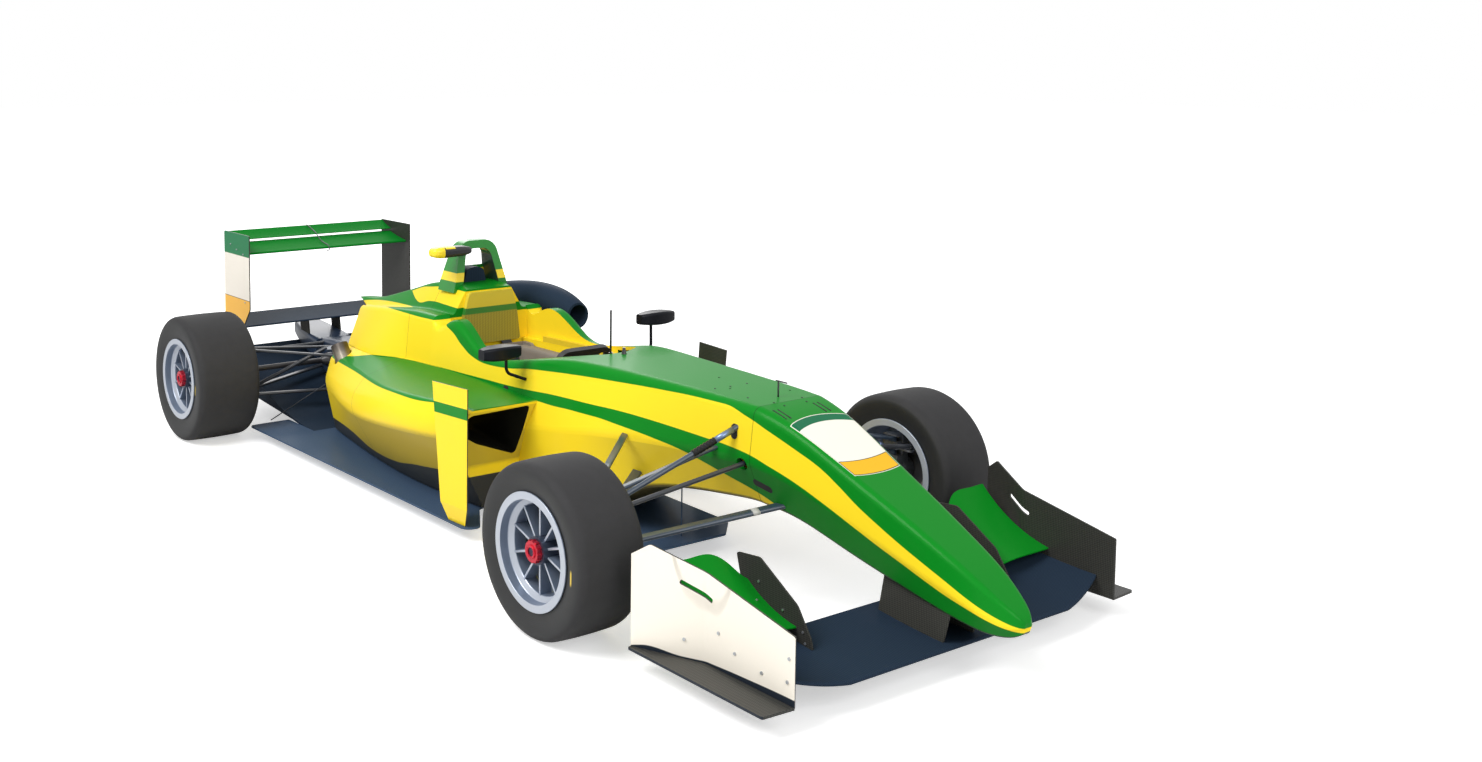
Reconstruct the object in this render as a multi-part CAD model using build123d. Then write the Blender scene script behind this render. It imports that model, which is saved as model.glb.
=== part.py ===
"""Single-seat open wheel racing car, built as separate named pieces.

Lengths are in millimetres. Every function works in the car's own stations: x counts forward
from mid-wheelbase, y to the left of the centre plane and z up from the ground. The finished
pieces are moved by mid_shift, so that the whole car is centred over the origin.
"""

from build123d import *
import os
from functools import cache
from math import acos, asin, cos, hypot, radians, sin, tan

# Overall layout
wheelbase = 2800
front_track = 1595
rear_track = 1540
nose_tip_x = 2500
tail_x = -1900
seat_gap = 0.3
panel_gap = 0.9
running_gap = 5

# Wheels and tyres
front_tyre_radius = 275
front_tyre_width = 245
rear_tyre_radius = 287
rear_tyre_width = 290
front_rim_width = 238
rear_rim_width = 283
rim_lip_radius = 184
bead_seat_radius = 165
rim_well_radius = 146
rim_wall = 6
spoke_count = 10
spoke_thickness = 7
spoke_depth = 42
hub_radius = 44
wheel_nut_radius = 33
brake_disc_radius = 127
brake_disc_width = 18
front_disc_y = 782
rear_disc_y = 752
axle_radius = 20
driveshaft_radius = 13
boot_radius = 34

# Uprights and their ball joints
front_pin_y = 700
front_pin_low_z = 235
front_pin_high_z = 388
pushrod_eye_z = 340
rear_pin_y = 660
rear_pin_low_z = 175
rear_pin_high_z = 400
pin_radius = 6
eye_radius = 14
eye_height = 18
column_half_width = 34
column_end = 18
bearing_radius = 44
caliper_low_radius = 88
caliper_high_radius = 140
caliper_half_height = 58
caliper_cheek = 16

# Steering
steering_arm_length = 85
steering_arm_in = 4
steering_arm_z = 366
rack_x = 1544
rack_z = 470
rack_radius = 13
rack_half_length = 140
rack_bearing_y = 75
track_rod_radius = 8
track_rod_hole_radius = 21
column_radius = 12
steering_wheel_x = 470
steering_wheel_z = 575
steering_wheel_tilt = 20

# Chassis
nose_split_x = 1575
tub_back_x = -400
headrest_x = -196
tub_wall = 14
nose_section_count = 9
tub_section_count = 15
cover_section_count = 7
bulkhead_thickness = 10
floor_z = 50
floor_thickness = 8
plank_thickness = 12
floor_half_width = 600
floor_back_x = -1260
diffuser_front_x = -1004
diffuser_half_width = 420
diffuser_back_x = -1850
diffuser_rise = 250
tub_half_width = 300
pod_inner_y = 240
cover_wall = 6
opening_floor_z = 560
cockpit_side_ledge = 25
dash_x = 588
dash_thickness = 12
binnacle_top_z = 640
binnacle_half_width = 46
binnacle_depth = 62
exhaust_radius = 39
exhaust_wall = 3
hoop_top_z = 983
hoop_front_x = -254
hoop_back_x = -379

# Wings
endplate_y = 703.5
plate_thickness = 6
flap_inner_y = 440
rear_wing_half_span = 454
rear_endplate_front_x = -1608
rear_endplate_top_z = 892

# Engine, gearbox and suspension
engine_half_width = 180
engine_back_x = -940
gearbox_back_x = -1600
output_half_span = 118
pushrod_radius = 9

floor_top_z = floor_z + floor_thickness
tub_low_z = floor_top_z + seat_gap
front_axle_x = wheelbase / 2
rear_axle_x = -wheelbase / 2
mid_shift = -(nose_tip_x + tail_x) / 2


def unit(a, b):
    """Direction from 2-D point a to 2-D point b."""
    length = hypot(b[0] - a[0], b[1] - a[1])
    return (b[0] - a[0]) / length, (b[1] - a[1]) / length


def rounded_wire(place, corners):
    """Closed wire of lines and arcs: corners are (u, v, radius), place turns (u, v) into a point."""
    count = len(corners)
    arcs = []
    for i, (u, v, radius) in enumerate(corners):
        before = unit((u, v), corners[i - 1])
        after = unit((u, v), corners[(i + 1) % count])
        half = acos(max(-1, min(1, before[0] * after[0] + before[1] * after[1]))) / 2
        reach = radius / tan(half)
        middle = unit((0, 0), (before[0] + after[0], before[1] + after[1]))
        sag = radius / sin(half) - radius
        start = place(u + before[0] * reach, v + before[1] * reach)
        top = place(u + middle[0] * sag, v + middle[1] * sag)
        end = place(u + after[0] * reach, v + after[1] * reach)
        arcs.append((start, top, end))
    edges = []
    for i, (start, top, end) in enumerate(arcs):
        edges.append(Edge.make_three_point_arc(start, top, end))
        edges.append(Edge.make_line(end, arcs[(i + 1) % count][0]))
    return Wire(edges)


def inset(corners, wall):
    """The same outline with every side moved inwards by wall, or outwards if wall is negative."""
    area = sum(corners[i - 1][0] * c[1] - c[0] * corners[i - 1][1] for i, c in enumerate(corners))
    turn = 1 if area > 0 else -1
    moved = []
    for i, (u, v, radius) in enumerate(corners):
        before = unit(corners[i - 1], (u, v))
        after = unit((u, v), corners[(i + 1) % len(corners)])
        cross = before[0] * after[1] - before[1] * after[0]
        shift_u = turn * wall * (after[0] - before[0]) / cross
        shift_v = turn * wall * (after[1] - before[1]) / cross
        outward = turn * cross > 0
        new_radius = max(radius - wall, 1) if outward else radius + wall
        moved.append((u + shift_u, v + shift_v, new_radius))
    return moved


square_corners = ((1, 1), (-1, 1), (-1, -1), (1, -1))


def both_sides(half):
    """Full outline from its left half, listed from the lowest corner to the highest."""
    return half + [(-y, z, r) for y, z, r in reversed(half)]


def strip_corners(start, end, half_width, radius):
    """Corners of a narrow rectangle about the line between two 2-D points."""
    along_u, along_v = unit(start, end)
    side_u, side_v = -along_v * half_width, along_u * half_width
    return [
        (start[0] + side_u, start[1] + side_v, radius),
        (start[0] - side_u, start[1] - side_v, radius),
        (end[0] - side_u, end[1] - side_v, radius),
        (end[0] + side_u, end[1] + side_v, radius),
    ]


def loft_sections(rows, outline, wall=0, ruled=False):
    """Solid through the outline of each row, whose first column is its station."""
    wires = []
    for row in rows:
        corners = outline(*row[1:])
        if wall:
            corners = inset(corners, wall)
        wires.append(rounded_wire(lambda y, z, x=row[0]: Vector(x, y, z), corners))
    return Solid.make_loft(wires, ruled)


def row_slope(rows, k, column):
    """Slope of one column at row k, nought at a crest or a hollow."""
    slopes = [
        (b[column] - a[column]) / (b[0] - a[0])
        for a, b in zip(rows[max(k - 1, 0):k + 1], rows[max(k - 1, 0) + 1:k + 2])
    ]
    before, after = slopes[0], slopes[-1]
    return 2 * before * after / (before + after) if before * after > 0 else 0


def smooth_row(rows, x):
    """Row of a table at station x, each column on a curve that never overshoots the rows beside it."""
    k = next(k for k in range(len(rows) - 1) if (x - rows[k][0]) * (x - rows[k + 1][0]) <= 0)
    start, end = rows[k], rows[k + 1]
    length = end[0] - start[0]
    t = (x - start[0]) / length
    values = [x]
    for column in range(1, len(start)):
        rise_start = length * row_slope(rows, k, column)
        rise_end = length * row_slope(rows, k + 1, column)
        values.append(
            (1 + 2 * t) * (1 - t) ** 2 * start[column] + t * (1 - t) ** 2 * rise_start
            + (3 - 2 * t) * t ** 2 * end[column] - (1 - t) * t ** 2 * rise_end
        )
    return tuple(values)


def even_rows(rows, first, last, count):
    """Rows of a table read at equal steps from one station to another."""
    return [smooth_row(rows, first + (last - first) * k / count) for k in range(count + 1)]


def side_plate(corners, y_low, y_high):
    """Plate with an outline of (x, z, radius) corners, between two values of y."""
    wire = rounded_wire(lambda x, z: Vector(x, y_low, z), corners)
    return Solid.extrude(Face(wire), Vector(0, y_high - y_low, 0))


def plan_plate(corners, z_low, z_high):
    """Plate with an outline of (x, y, radius) corners, between two heights."""
    wire = rounded_wire(lambda x, y: Vector(x, y, z_low), corners)
    return Solid.extrude(Face(wire), Vector(0, 0, z_high - z_low))


def front_plate(corners, x_low, x_high):
    """Plate with an outline of (y, z, radius) corners, between two stations."""
    wire = rounded_wire(lambda y, z: Vector(x_low, y, z), corners)
    return Solid.extrude(Face(wire), Vector(x_high - x_low, 0, 0))


def rod(start, end, radius):
    """Round bar between two points."""
    start = Vector(*start)
    axis = Vector(*end) - start
    return Solid.make_cylinder(radius, axis.length, Plane(origin=start, z_dir=axis))


def aero_arm(start, end, chord, thickness):
    """Streamlined suspension arm: a flat oval section, its chord along the car."""
    start = Vector(*start)
    axis = Vector(*end) - start
    plane = Plane(origin=start, x_dir=axis.cross(Vector(0, 0, 1)), z_dir=axis)
    corner = thickness * 0.49
    corners = [(u * chord / 2, v * thickness / 2, corner) for u, v in square_corners]
    wire = rounded_wire(lambda u, v: plane.from_local_coords(Vector(u, v, 0)), corners)
    return Solid.extrude(Face(wire), axis)


def reach(start, through, y_end):
    """Point at y_end on the line from start through another point."""
    share = (y_end - start[1]) / (through[1] - start[1])
    return tuple(a + (b - a) * share for a, b in zip(start, through))


def mirrored(solid):
    """The same solid on the other side of the car."""
    return solid.mirror(Plane.XZ)


def pair(solid):
    """A right-hand solid with its left-hand twin."""
    return Compound([solid, mirrored(solid)])


def joined(*solids):
    """One solid from pieces that overlap."""
    return solids[0].fuse(*solids[1:]).solid()


def cut(body, *tools):
    """The largest solid left when the tools are taken out of the body."""
    left = body.cut(*tools)
    pieces = left.solids()
    return max(pieces, key=lambda piece: piece.volume)


# Nose and chassis sections
# Columns: station x, bottom z, bottom half-width, waist z, waist half-width, top z, top half-width,
# bottom radius, waist radius, top radius
body_rows = [
    (nose_tip_x, 188, 9, 199, 16, 211, 12, 3, 4, 4),
    (2484, 172, 26, 198, 40, 232, 30, 8, 10, 10),
    (2450, 162, 44, 202, 62, 258, 48, 12, 20, 16),
    (2360, 164, 62, 234, 86, 316, 72, 16, 30, 20),
    (2200, 196, 78, 290, 104, 398, 92, 18, 40, 24),
    (1960, 254, 94, 372, 130, 508, 118, 20, 50, 26),
    (1700, 318, 108, 455, 160, 622, 143, 22, 60, 30),
    (nose_split_x, 331, 118, 476, 178, 655, 158, 24, 60, 34),
    (1300, 308, 138, 470, 205, 662, 176, 26, 60, 34),
    (1060, 262, 160, 456, 235, 664, 190, 28, 60, 34),
    (820, 150, 200, 430, 272, 664, 212, 30, 60, 34),
    (640, tub_low_z, 235, 400, 292, 655, 236, 30, 60, 32),
    (400, tub_low_z, 250, 380, tub_half_width, 612, 262, 30, 60, 28),
    (215, tub_low_z, 255, 370, tub_half_width, 590, 276, 30, 60, 24),
    (110, tub_low_z, 255, 370, tub_half_width, 630, 279, 30, 60, 26),
    (-10, tub_low_z, 255, 370, tub_half_width, 690, 278, 30, 60, 30),
    (headrest_x, tub_low_z, 255, 370, tub_half_width, 697, 276, 30, 60, 32),
]
nose_rows = body_rows[:2] + even_rows(body_rows, 2450, nose_split_x, nose_section_count)
tub_rows = even_rows(body_rows, nose_split_x, headrest_x, tub_section_count)
foot_row_count = 11


def tub_outline(z_low, w_low, z_mid, w_mid, z_top, w_top, r_low, r_mid, r_top):
    """Six-cornered section, widest at the waist."""
    return both_sides([(w_low, z_low, r_low), (w_mid, z_mid, r_mid), (w_top, z_top, r_top)])


# Shoulders and headrest fairing behind the cockpit
# Columns: station x, bottom z, bottom half-width, waist z, waist half-width, shoulder z, shoulder
# half-width, valley z, valley half-width, crest z, crest half-width
shoulder_rows = [
    (headrest_x, 370, 300, 697, 276, 690, 172, 790, 112),
    (-290, 370, 300, 695, 272, 688, 168, 803, 106),
    (tub_back_x, 370, 300, 690, 266, 684, 160, 796, 96),
]
cover_rows = [
    (tub_back_x, 470, 289, 690, 266, 684, 160, 796, 96),
    (-490, 466, 312, 682, 260, 675, 151, 782, 87),
    (-585, 462, 322, 672, 250, 664, 140, 758, 76),
    (-850, 452, 290, 640, 212, 628, 110, 684, 54),
    (-1080, 445, 236, 606, 152, 594, 80, 628, 34),
    (-1294, 440, 180, 584, 96, 578, 50, 600, 20),
]
even_cover_rows = even_rows(cover_rows, tub_back_x, -1294, cover_section_count)


def shoulder_outline(z_low, w_low, z_shoulder, w_shoulder, z_valley, w_valley, z_crest, w_crest):
    """Section with a rounded shoulder each side of a raised centre."""
    return both_sides([
        (w_low, z_low, 4),
        (w_shoulder, z_shoulder, 30),
        (w_valley, z_valley, 20),
        (w_crest, z_crest, 18),
    ])


def opening_outline(inset_by=0):
    """Plan outline of the cockpit opening, or of a line that far inside it."""
    half = [
        (676 - inset_by, 45, 40),
        (600 - inset_by / 2, 160 - inset_by / 2, 120),
        (330, 250 - inset_by, 150),
        (headrest_x, 196 - inset_by, 4),
    ]
    return half + [(x, -y, r) for x, y, r in reversed(half)]


@cache
def tub_skin(grow=0):
    """Outer solid of the tub, its underside level with the floor."""
    skin = loft_sections(tub_rows, tub_outline, -grow)
    under = Solid.make_box(1200, 800, 100, Plane((0, -400, tub_low_z - grow - 100)))
    return cut(skin, under)


@cache
def nose_skin(grow=0):
    return loft_sections(nose_rows, tub_outline, -grow)


@cache
def fairing_skin(grow=0):
    return loft_sections(shoulder_rows, shoulder_outline, -grow)


@cache
def cover_skin(grow=0):
    return loft_sections(even_cover_rows, shoulder_outline, -grow)


@cache
def tank_box(grow=0):
    """Block of the chassis behind the seat, up to the engine."""
    width = 2 * (tub_half_width + grow)
    corner = (tub_back_x, -width / 2, tub_low_z - grow)
    return Solid.make_box(headrest_x - tub_back_x + grow, width, 340 + grow, Plane(corner))


@cache
def foot_well(inset_by=0):
    """Space inside the front of the tub."""
    rows = [(nose_split_x - bulkhead_thickness,) + tub_rows[0][1:]] + tub_rows[1:foot_row_count]
    well = loft_sections(rows, tub_outline, tub_wall + inset_by)
    under = Solid.make_box(1200, 800, 100, Plane((0, -400, tub_low_z + tub_wall + inset_by - 100)))
    return cut(well, under)


def nose_cone():
    """Crash-tested nose: a closed tapering shell ahead of the front bulkhead."""
    return nose_skin()


def steering_axis_rod(radius, start, length):
    """Round bar along the steering column, start counted down from the wheel's centre."""
    tilt = radians(steering_wheel_tilt)
    along = (cos(tilt), 0, -sin(tilt))
    origin = (steering_wheel_x + along[0] * start, 0, steering_wheel_z + along[2] * start)
    return Solid.make_cylinder(radius, length, Plane(origin=origin, z_dir=along))


def track_rod_line(side, share_from, share_to, radius):
    """Round bar along a stretch of the track rod, its shares counted from the rack's end."""
    tip = steering_arm_tip(side)
    root = (rack_x, side * rack_half_length, rack_z)
    points = [tuple(a + (b - a) * share for a, b in zip(root, tip)) for share in (share_from, share_to)]
    return rod(points[0], points[1], radius)


def steering_arm_tip(side):
    """Centre of the ball joint at the track rod's outer end."""
    height = steering_arm_z + eye_height / 2 + 2
    return (front_axle_x + steering_arm_length, side * (front_pin_y - steering_arm_in), height)


def well_prism(grow=0):
    """Upright prism of the cockpit's inside, below the ledge round its opening."""
    half = [(590 + grow, 120, 60), (330, 225 + grow, 130), (headrest_x - grow, 171 + grow, 8)]
    outline = half + [(x, -y, r) for x, y, r in reversed(half)]
    return plan_plate(outline, tub_low_z + tub_wall, opening_floor_z + 40)


def monocoque():
    """Chassis tub with an open cockpit, the headrest fairing and the steering rack's bearings."""
    tub = joined(tub_skin(), fairing_skin(), tank_box())
    opening = plan_plate(opening_outline(), opening_floor_z, 900)
    tub = cut(tub, foot_well(), opening, well_prism())
    for side in (-1, 1):
        block = Solid.make_box(50, 24, 50, Plane((rack_x - 26, side * rack_bearing_y - 12, rack_z - 25)))
        tub = joined(tub, block)
        tub = cut(tub, track_rod_line(side, -0.1, 0.35, track_rod_hole_radius))
    return cut(tub, rod((rack_x, -200, rack_z), (rack_x, 200, rack_z), rack_radius + seat_gap))


def headrest():
    """Padded panel on the fairing's front face, behind the driver's head."""
    front_x = headrest_x + seat_gap
    return front_plate(both_sides([(150, 560, 12), (133, 690, 60), (108, 778, 16)]), front_x, front_x + 20)


def dashboard():
    """Panel across the tub with the column's bearing, and the binnacle that carries the aerial."""
    slab = Solid.make_box(dash_thickness, 800, 200, Plane((dash_x, -400, 428)))
    panel = foot_well(seat_gap).intersect(slab).solid()
    binnacle = side_plate([
        (dash_x, binnacle_top_z - 44, 1),
        (dash_x, binnacle_top_z - 6, 6),
        (dash_x + binnacle_depth, binnacle_top_z, 6),
        (dash_x + binnacle_depth, binnacle_top_z - 26, 10),
    ], -binnacle_half_width, binnacle_half_width)
    return cut(joined(panel, binnacle), steering_axis_rod(column_radius + seat_gap, 60, 140))


@cache
def hoop_shape(grow=0):
    """Inverted U whose chord tapers upwards, with a panel low down between its legs."""
    base_z = 770
    crown_z = hoop_top_z + grow
    outer = both_sides([(138 + grow, base_z, 0.5), (86 + grow, crown_z, 62)])
    inner = both_sides([(100 - grow, base_z - 10, 0.5), (58 - grow, hoop_top_z - 34 - grow, 44)])
    ring = cut(
        front_plate(outer, hoop_back_x - grow, hoop_front_x + grow),
        front_plate(inner, hoop_back_x - 5, hoop_front_x + 5),
    )
    chord = side_plate([
        (hoop_back_x - 8 - grow, base_z, 1),
        (hoop_front_x + 8 + grow, base_z, 1),
        (-284 + grow, hoop_top_z + 2 + grow, 8),
        (-336 - grow, hoop_top_z + 2 + grow, 8),
    ], -200, 200)
    panel = front_plate(both_sides([(104, 780, 1), (84, 866, 6)]), hoop_back_x + 14, hoop_back_x + 22)
    return joined(ring.intersect(chord).solid(), panel)


def roll_hoop():
    """Streamlined fairing of the main roll hoop, standing on the headrest fairing."""
    return cut(hoop_shape(), fairing_skin(seat_gap))


def camera_pod():
    """Streamlined camera housing that reaches outwards from the front of the hoop."""
    # Columns: y, half-length along the car, half-height
    stations = [(-256, 12, 8), (-246, 26, 17), (-214, 36, 23), (-150, 34, 22), (-78, 24, 17), (-62, 18, 12)]
    wires = []
    for y, half_length, half_height in stations:
        corners = [(u * half_length, v * half_height, half_height * 0.8) for u, v in square_corners]
        wires.append(rounded_wire(lambda u, v, y=y: Vector(-248 + u, y, 950 + v), corners))
    return cut(Solid.make_loft(wires, False), hoop_shape(seat_gap))


def cover_edge_cutter():
    """Space behind the engine cover's rear edge, which sweeps back to a beak on the centre plane."""
    half = [
        (-1400, -14, 1),
        (-1290, -14, 1),
        (-1080, -88, 400),
        (-975, -188, 120),
        (-935, -330, 100),
        (-935, -600, 1),
        (-1400, -600, 1),
    ]
    return plan_plate(half, 300, 900)


def engine_cover():
    """Shell behind the headrest, open below, its rear edge swept back to a beak."""
    drop = 60
    hollow_rows = []
    for x, z_low, w_low, z_side, w_side, *rest in even_cover_rows:
        flare = drop * (w_low - w_side) / (z_side - z_low)
        hollow_rows.append((x, z_low - drop, w_low + flare, z_side, w_side, *rest))
    hollow = loft_sections(hollow_rows, shoulder_outline, cover_wall)
    edge = cover_edge_cutter()
    return cut(cover_skin(), hollow, edge, mirrored(edge), exhaust_path(exhaust_radius + running_gap))


def pod_outline(y_base, z_mid, y_out, z_top, y_top, z_in):
    """Sidepod section: undercut flank, bulged side and sloping top."""
    return [
        (pod_inner_y, tub_low_z, 2),
        (y_base, tub_low_z, 20),
        (y_out, z_mid, 100),
        (y_top, z_top, 34),
        (pod_inner_y, z_in, 2),
    ]


def duct_outline(z_inner, z_middle, y_outer, z_outer, z_top):
    """Intake duct section: a floor that climbs outwards and a level roof."""
    return [
        (308, z_inner, 14),
        (y_outer - 80, z_middle, 60),
        (y_outer, z_outer, 26),
        (y_outer, z_top, 34),
        (308, z_top + 8, 14),
    ]


def sidepod(side):
    """Sidepod with an undercut flank and an open intake duct; side is -1 for the right."""
    # Columns: station x, base y, side z, side y, top z, top y, inner top z
    pod = loft_sections([
        (550, 400, 420, 596, 492, 572, 486),
        (250, 430, 390, 640, 478, 590, 502),
        (-100, 440, 360, 628, 452, 560, 506),
        (-450, 410, 330, 560, 430, 470, 500),
        (-750, 366, 310, 460, 420, 400, 484),
        (-960, 330, 300, 384, 404, 350, 456),
    ], pod_outline)
    # Columns: station x, inner floor z, middle floor z, outer y, outer floor z, roof z
    duct = loft_sections([
        (620, 262, 345, 584, 392, 466),
        (400, 268, 340, 580, 385, 462),
        (120, 296, 330, 520, 360, 430),
    ], duct_outline)
    face = side_plate([
        (760, 640, 5),
        (566, 640, 5),
        (546, 480, 30),
        (500, 375, 40),
        (428, 240, 60),
        (392, 40, 20),
        (392, 0, 5),
        (760, 0, 5),
    ], 100, 800)
    pod = cut(pod, face, duct, tub_skin(panel_gap), tank_box(panel_gap), fairing_skin(panel_gap))
    pod = cut(pod, cover_skin(panel_gap))
    if side < 0:
        return cut(mirrored(pod), exhaust_path(exhaust_radius + running_gap))
    return pod


def air_box():
    """Engine air intake: a tapering duct on the left, its round mouth facing forwards."""
    # Columns: station x, y, z, radius
    stations = [
        (-60, 372, 652, 56),
        (-200, 378, 682, 68),
        (-380, 366, 690, 72),
        (-560, 330, 676, 66),
        (-700, 290, 660, 52),
    ]
    wires = [Wire.make_circle(r, Plane(origin=(x, y, z), z_dir=(1, 0, 0))) for x, y, z, r in stations]
    duct = Solid.make_loft(wires, False)
    mouth = Solid.make_cone(30, 48, 130, Plane(origin=(-180, 374, 656), z_dir=(1, 0, -0.03)))
    return cut(duct, mouth, cover_skin(panel_gap), tub_skin(panel_gap), fairing_skin(panel_gap))


@cache
def exhaust_path(radius):
    """Solid bar of the given radius along the tailpipe, from the engine's side to its mouth."""
    engine_side_y = -(engine_half_width + seat_gap + 9)
    wire = FilletPolyline((-800, engine_side_y, 345), (-820, -345, 372), (-880, -352, 470), radius=52)
    start = Plane(origin=wire @ 0, z_dir=wire % 0)
    return sweep(start * Circle(radius), path=wire).solid()


def exhaust_pipe():
    """Bent tailpipe that comes up through the right sidepod and points up and back."""
    return cut(exhaust_path(exhaust_radius), exhaust_path(exhaust_radius - exhaust_wall))


def floor():
    """Flat undertray with the narrow tray under the nose, its stay wire and the plank below."""
    half = [
        (1120, 150, 30),
        (1020, 255, 20),
        (640, 268, 60),
        (345, 300, 40),
        (372, 420, 30),
        (560, 540, 30),
        (550, floor_half_width, 40),
        (floor_back_x, floor_half_width + 20, 20),
        (floor_back_x, diffuser_half_width, 10),
        (diffuser_front_x, diffuser_half_width, 1),
    ]
    tray = plan_plate(half + [(x, -y, r) for x, y, r in reversed(half)], floor_z, floor_top_z)
    plank_corners = [(1090, 110, 40), (-980, 110, 40), (-980, -110, 40), (1090, -110, 40)]
    plank = plan_plate(plank_corners, floor_z - plank_thickness, floor_z)
    stay = rod((1050, 0, floor_z), (1050, 0, 340), 2.5)
    return cut(joined(tray, plank, stay), tub_skin(seat_gap))


def diffuser():
    """Upswept roof behind the floor with its side plates and strakes."""
    front_x = diffuser_front_x - seat_gap
    half_width = diffuser_half_width - seat_gap
    length = front_x - diffuser_back_x
    radius = (length ** 2 + diffuser_rise ** 2) / (2 * diffuser_rise)
    angle = asin(length / radius)

    def arc_point(share, lift):
        a = angle * share
        return Vector(front_x - (radius - lift) * sin(a), 0, floor_z + radius - (radius - lift) * cos(a))

    def plate(edges, y_low, y_high):
        face = Face(Wire(edges)).moved(Location((0, y_low, 0)))
        return Solid.extrude(face, Vector(0, y_high - y_low, 0))

    roof = plate([
        Edge.make_three_point_arc(arc_point(0, 0), arc_point(0.5, 0), arc_point(1, 0)),
        Edge.make_line(arc_point(1, 0), arc_point(1, floor_thickness)),
        Edge.make_three_point_arc(*[arc_point(share, floor_thickness) for share in (1, 0.5, 0)]),
        Edge.make_line(arc_point(0, floor_thickness), arc_point(0, 0)),
    ], -half_width, half_width)
    pieces = [roof]
    front = Vector(front_x, 0, floor_z)
    back = Vector(diffuser_back_x, 0, floor_z + 60)
    half_plate = plate_thickness / 2
    for y in (-half_width + half_plate, -210, -80, 80, 210, half_width - half_plate):
        pieces.append(plate([
            Edge.make_line(front, back),
            Edge.make_line(back, arc_point(1, 4)),
            Edge.make_three_point_arc(*[arc_point(share, 4) for share in (1, 0.5, 0)]),
            Edge.make_line(arc_point(0, 4), front),
        ], y - half_plate, y + half_plate))
    return joined(*pieces)


def sidepod_vanes():
    """Upright vane ahead of each sidepod, standing on the floor's corner."""
    half_thickness = 3
    # Columns: height, front x, back x, front y, back y
    rows = [
        (floor_top_z + seat_gap, 530, 424, 585, 590),
        (130, 574, 412, 606, 618),
        (585, 604, 410, 622, 650),
    ]
    wires = []
    for z, x_front, x_back, y_front, y_back in rows:
        corners = [
            (x_front, y_front - half_thickness, 2),
            (x_back, y_back - half_thickness, 2),
            (x_back, y_back + half_thickness, 2),
            (x_front, y_front + half_thickness, 2),
        ]
        wires.append(rounded_wire(lambda x, y, z=z: Vector(x, y, z), corners))
    return pair(Solid.make_loft(wires, True))


def aerofoil_wire(lead, trail, thickness, sag, y, grow=0):
    """Closed section of a wing element between two points (x, z), bowed downwards by sag."""
    chord = hypot(trail[0] - lead[0], trail[1] - lead[1])
    ux, uz = unit(lead, trail)

    def at(along, up):
        return Vector(lead[0] + ux * along + uz * up, y, lead[1] + uz * along - ux * up)

    nose = thickness * 0.28 + grow
    top = thickness * 0.42 - sag + grow
    low = -thickness * 0.58 - sag - grow
    tail = 1 + grow
    return Wire([
        Edge.make_three_point_arc(at(0, -nose), at(-nose, 0), at(0, nose)),
        Edge.make_three_point_arc(at(0, nose), at(chord * 0.4, top), at(chord + grow, tail)),
        Edge.make_line(at(chord + grow, tail), at(chord + grow, -tail)),
        Edge.make_three_point_arc(at(chord + grow, -tail), at(chord * 0.4, low), at(0, -nose)),
    ])


def aerofoil(lead, trail, thickness, sag, y_low, y_high, grow=0):
    """Straight wing element between two values of y."""
    face = Face(aerofoil_wire(lead, trail, thickness, sag, y_low, grow))
    return Solid.extrude(face, Vector(0, y_high - y_low, 0))


# Columns: y, leading edge x and z, trailing edge x and z, thickness, sag
front_plane_rows = [
    (480, 2292, 84, 1988, 118, 26, 10),
    (600, 2266, 100, 1986, 132, 22, 9),
    (endplate_y - plate_thickness - seat_gap, 2238, 126, 1984, 150, 18, 8),
]
front_flap_rows = [
    (flap_inner_y, 2050, 150, 1853, 232, 12, 16),
    (560, 2062, 166, 1800, 316, 12, 26),
    (endplate_y - plate_thickness - seat_gap, 2062, 166, 1800, 316, 12, 26),
]
flap_section_count = 6
main_plane = {"lead": (-1650, 800), "trail": (-1812, 838), "thickness": 20, "sag": 8}
rear_flap = {"lead": (-1800, 852), "trail": (-1892, 888), "thickness": 8, "sag": 5}
beam_plane = {"lead": (-1668, 438), "trail": (-1850, 474), "thickness": 16, "sag": 4}


def wing_section(y, row, grow=0):
    """Aerofoil section at y from the other columns of a wing table's row."""
    x_lead, z_lead, x_trail, z_trail, thickness, sag = row[1:]
    return aerofoil_wire((x_lead, z_lead), (x_trail, z_trail), thickness, sag, y, grow)


@cache
def front_plane(grow=0):
    """Main plane: straight across the middle, its outer ends lifted and swept back."""
    first = front_plane_rows[0]
    middle = Solid.make_loft([wing_section(y, first, grow) for y in (-first[0], first[0])], True)
    tip = Solid.make_loft([wing_section(-row[0], row, grow) for row in front_plane_rows], False)
    return joined(middle, tip, mirrored(tip))


def front_wing_main():
    return front_plane()


def front_wing_flaps():
    """Upper element on each side, lower at its inner end, where an upright plate carries it."""
    rows = even_rows(front_flap_rows, flap_inner_y, front_flap_rows[-1][0], flap_section_count)
    flap = Solid.make_loft([wing_section(-row[0], row) for row in rows], False)
    corners = [
        (2118, 100, 6),
        (2030, 96, 10),
        (1832, 196, 20),
        (1803, 302, 8),
        (1900, 312, 24),
        (2055, 214, 40),
        (2108, 134, 10),
    ]
    plate = side_plate(corners, -flap_inner_y - plate_thickness / 2, -flap_inner_y + plate_thickness / 2)
    return pair(cut(joined(flap, plate), front_plane(seat_gap)))


def endplate_line(offset, end_x):
    """Plan corners of the endplate at an offset from its outer face, flaring outwards at the rear."""
    flare = 97
    rear_x, bend_x = 1745, 1960
    y = endplate_y - offset
    y_end = y + flare * (bend_x - end_x) / (bend_x - rear_x)
    return [(2306 - offset / 2, -y, 1), (bend_x, -y, 60), (end_x, -y_end, 1)]


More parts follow.
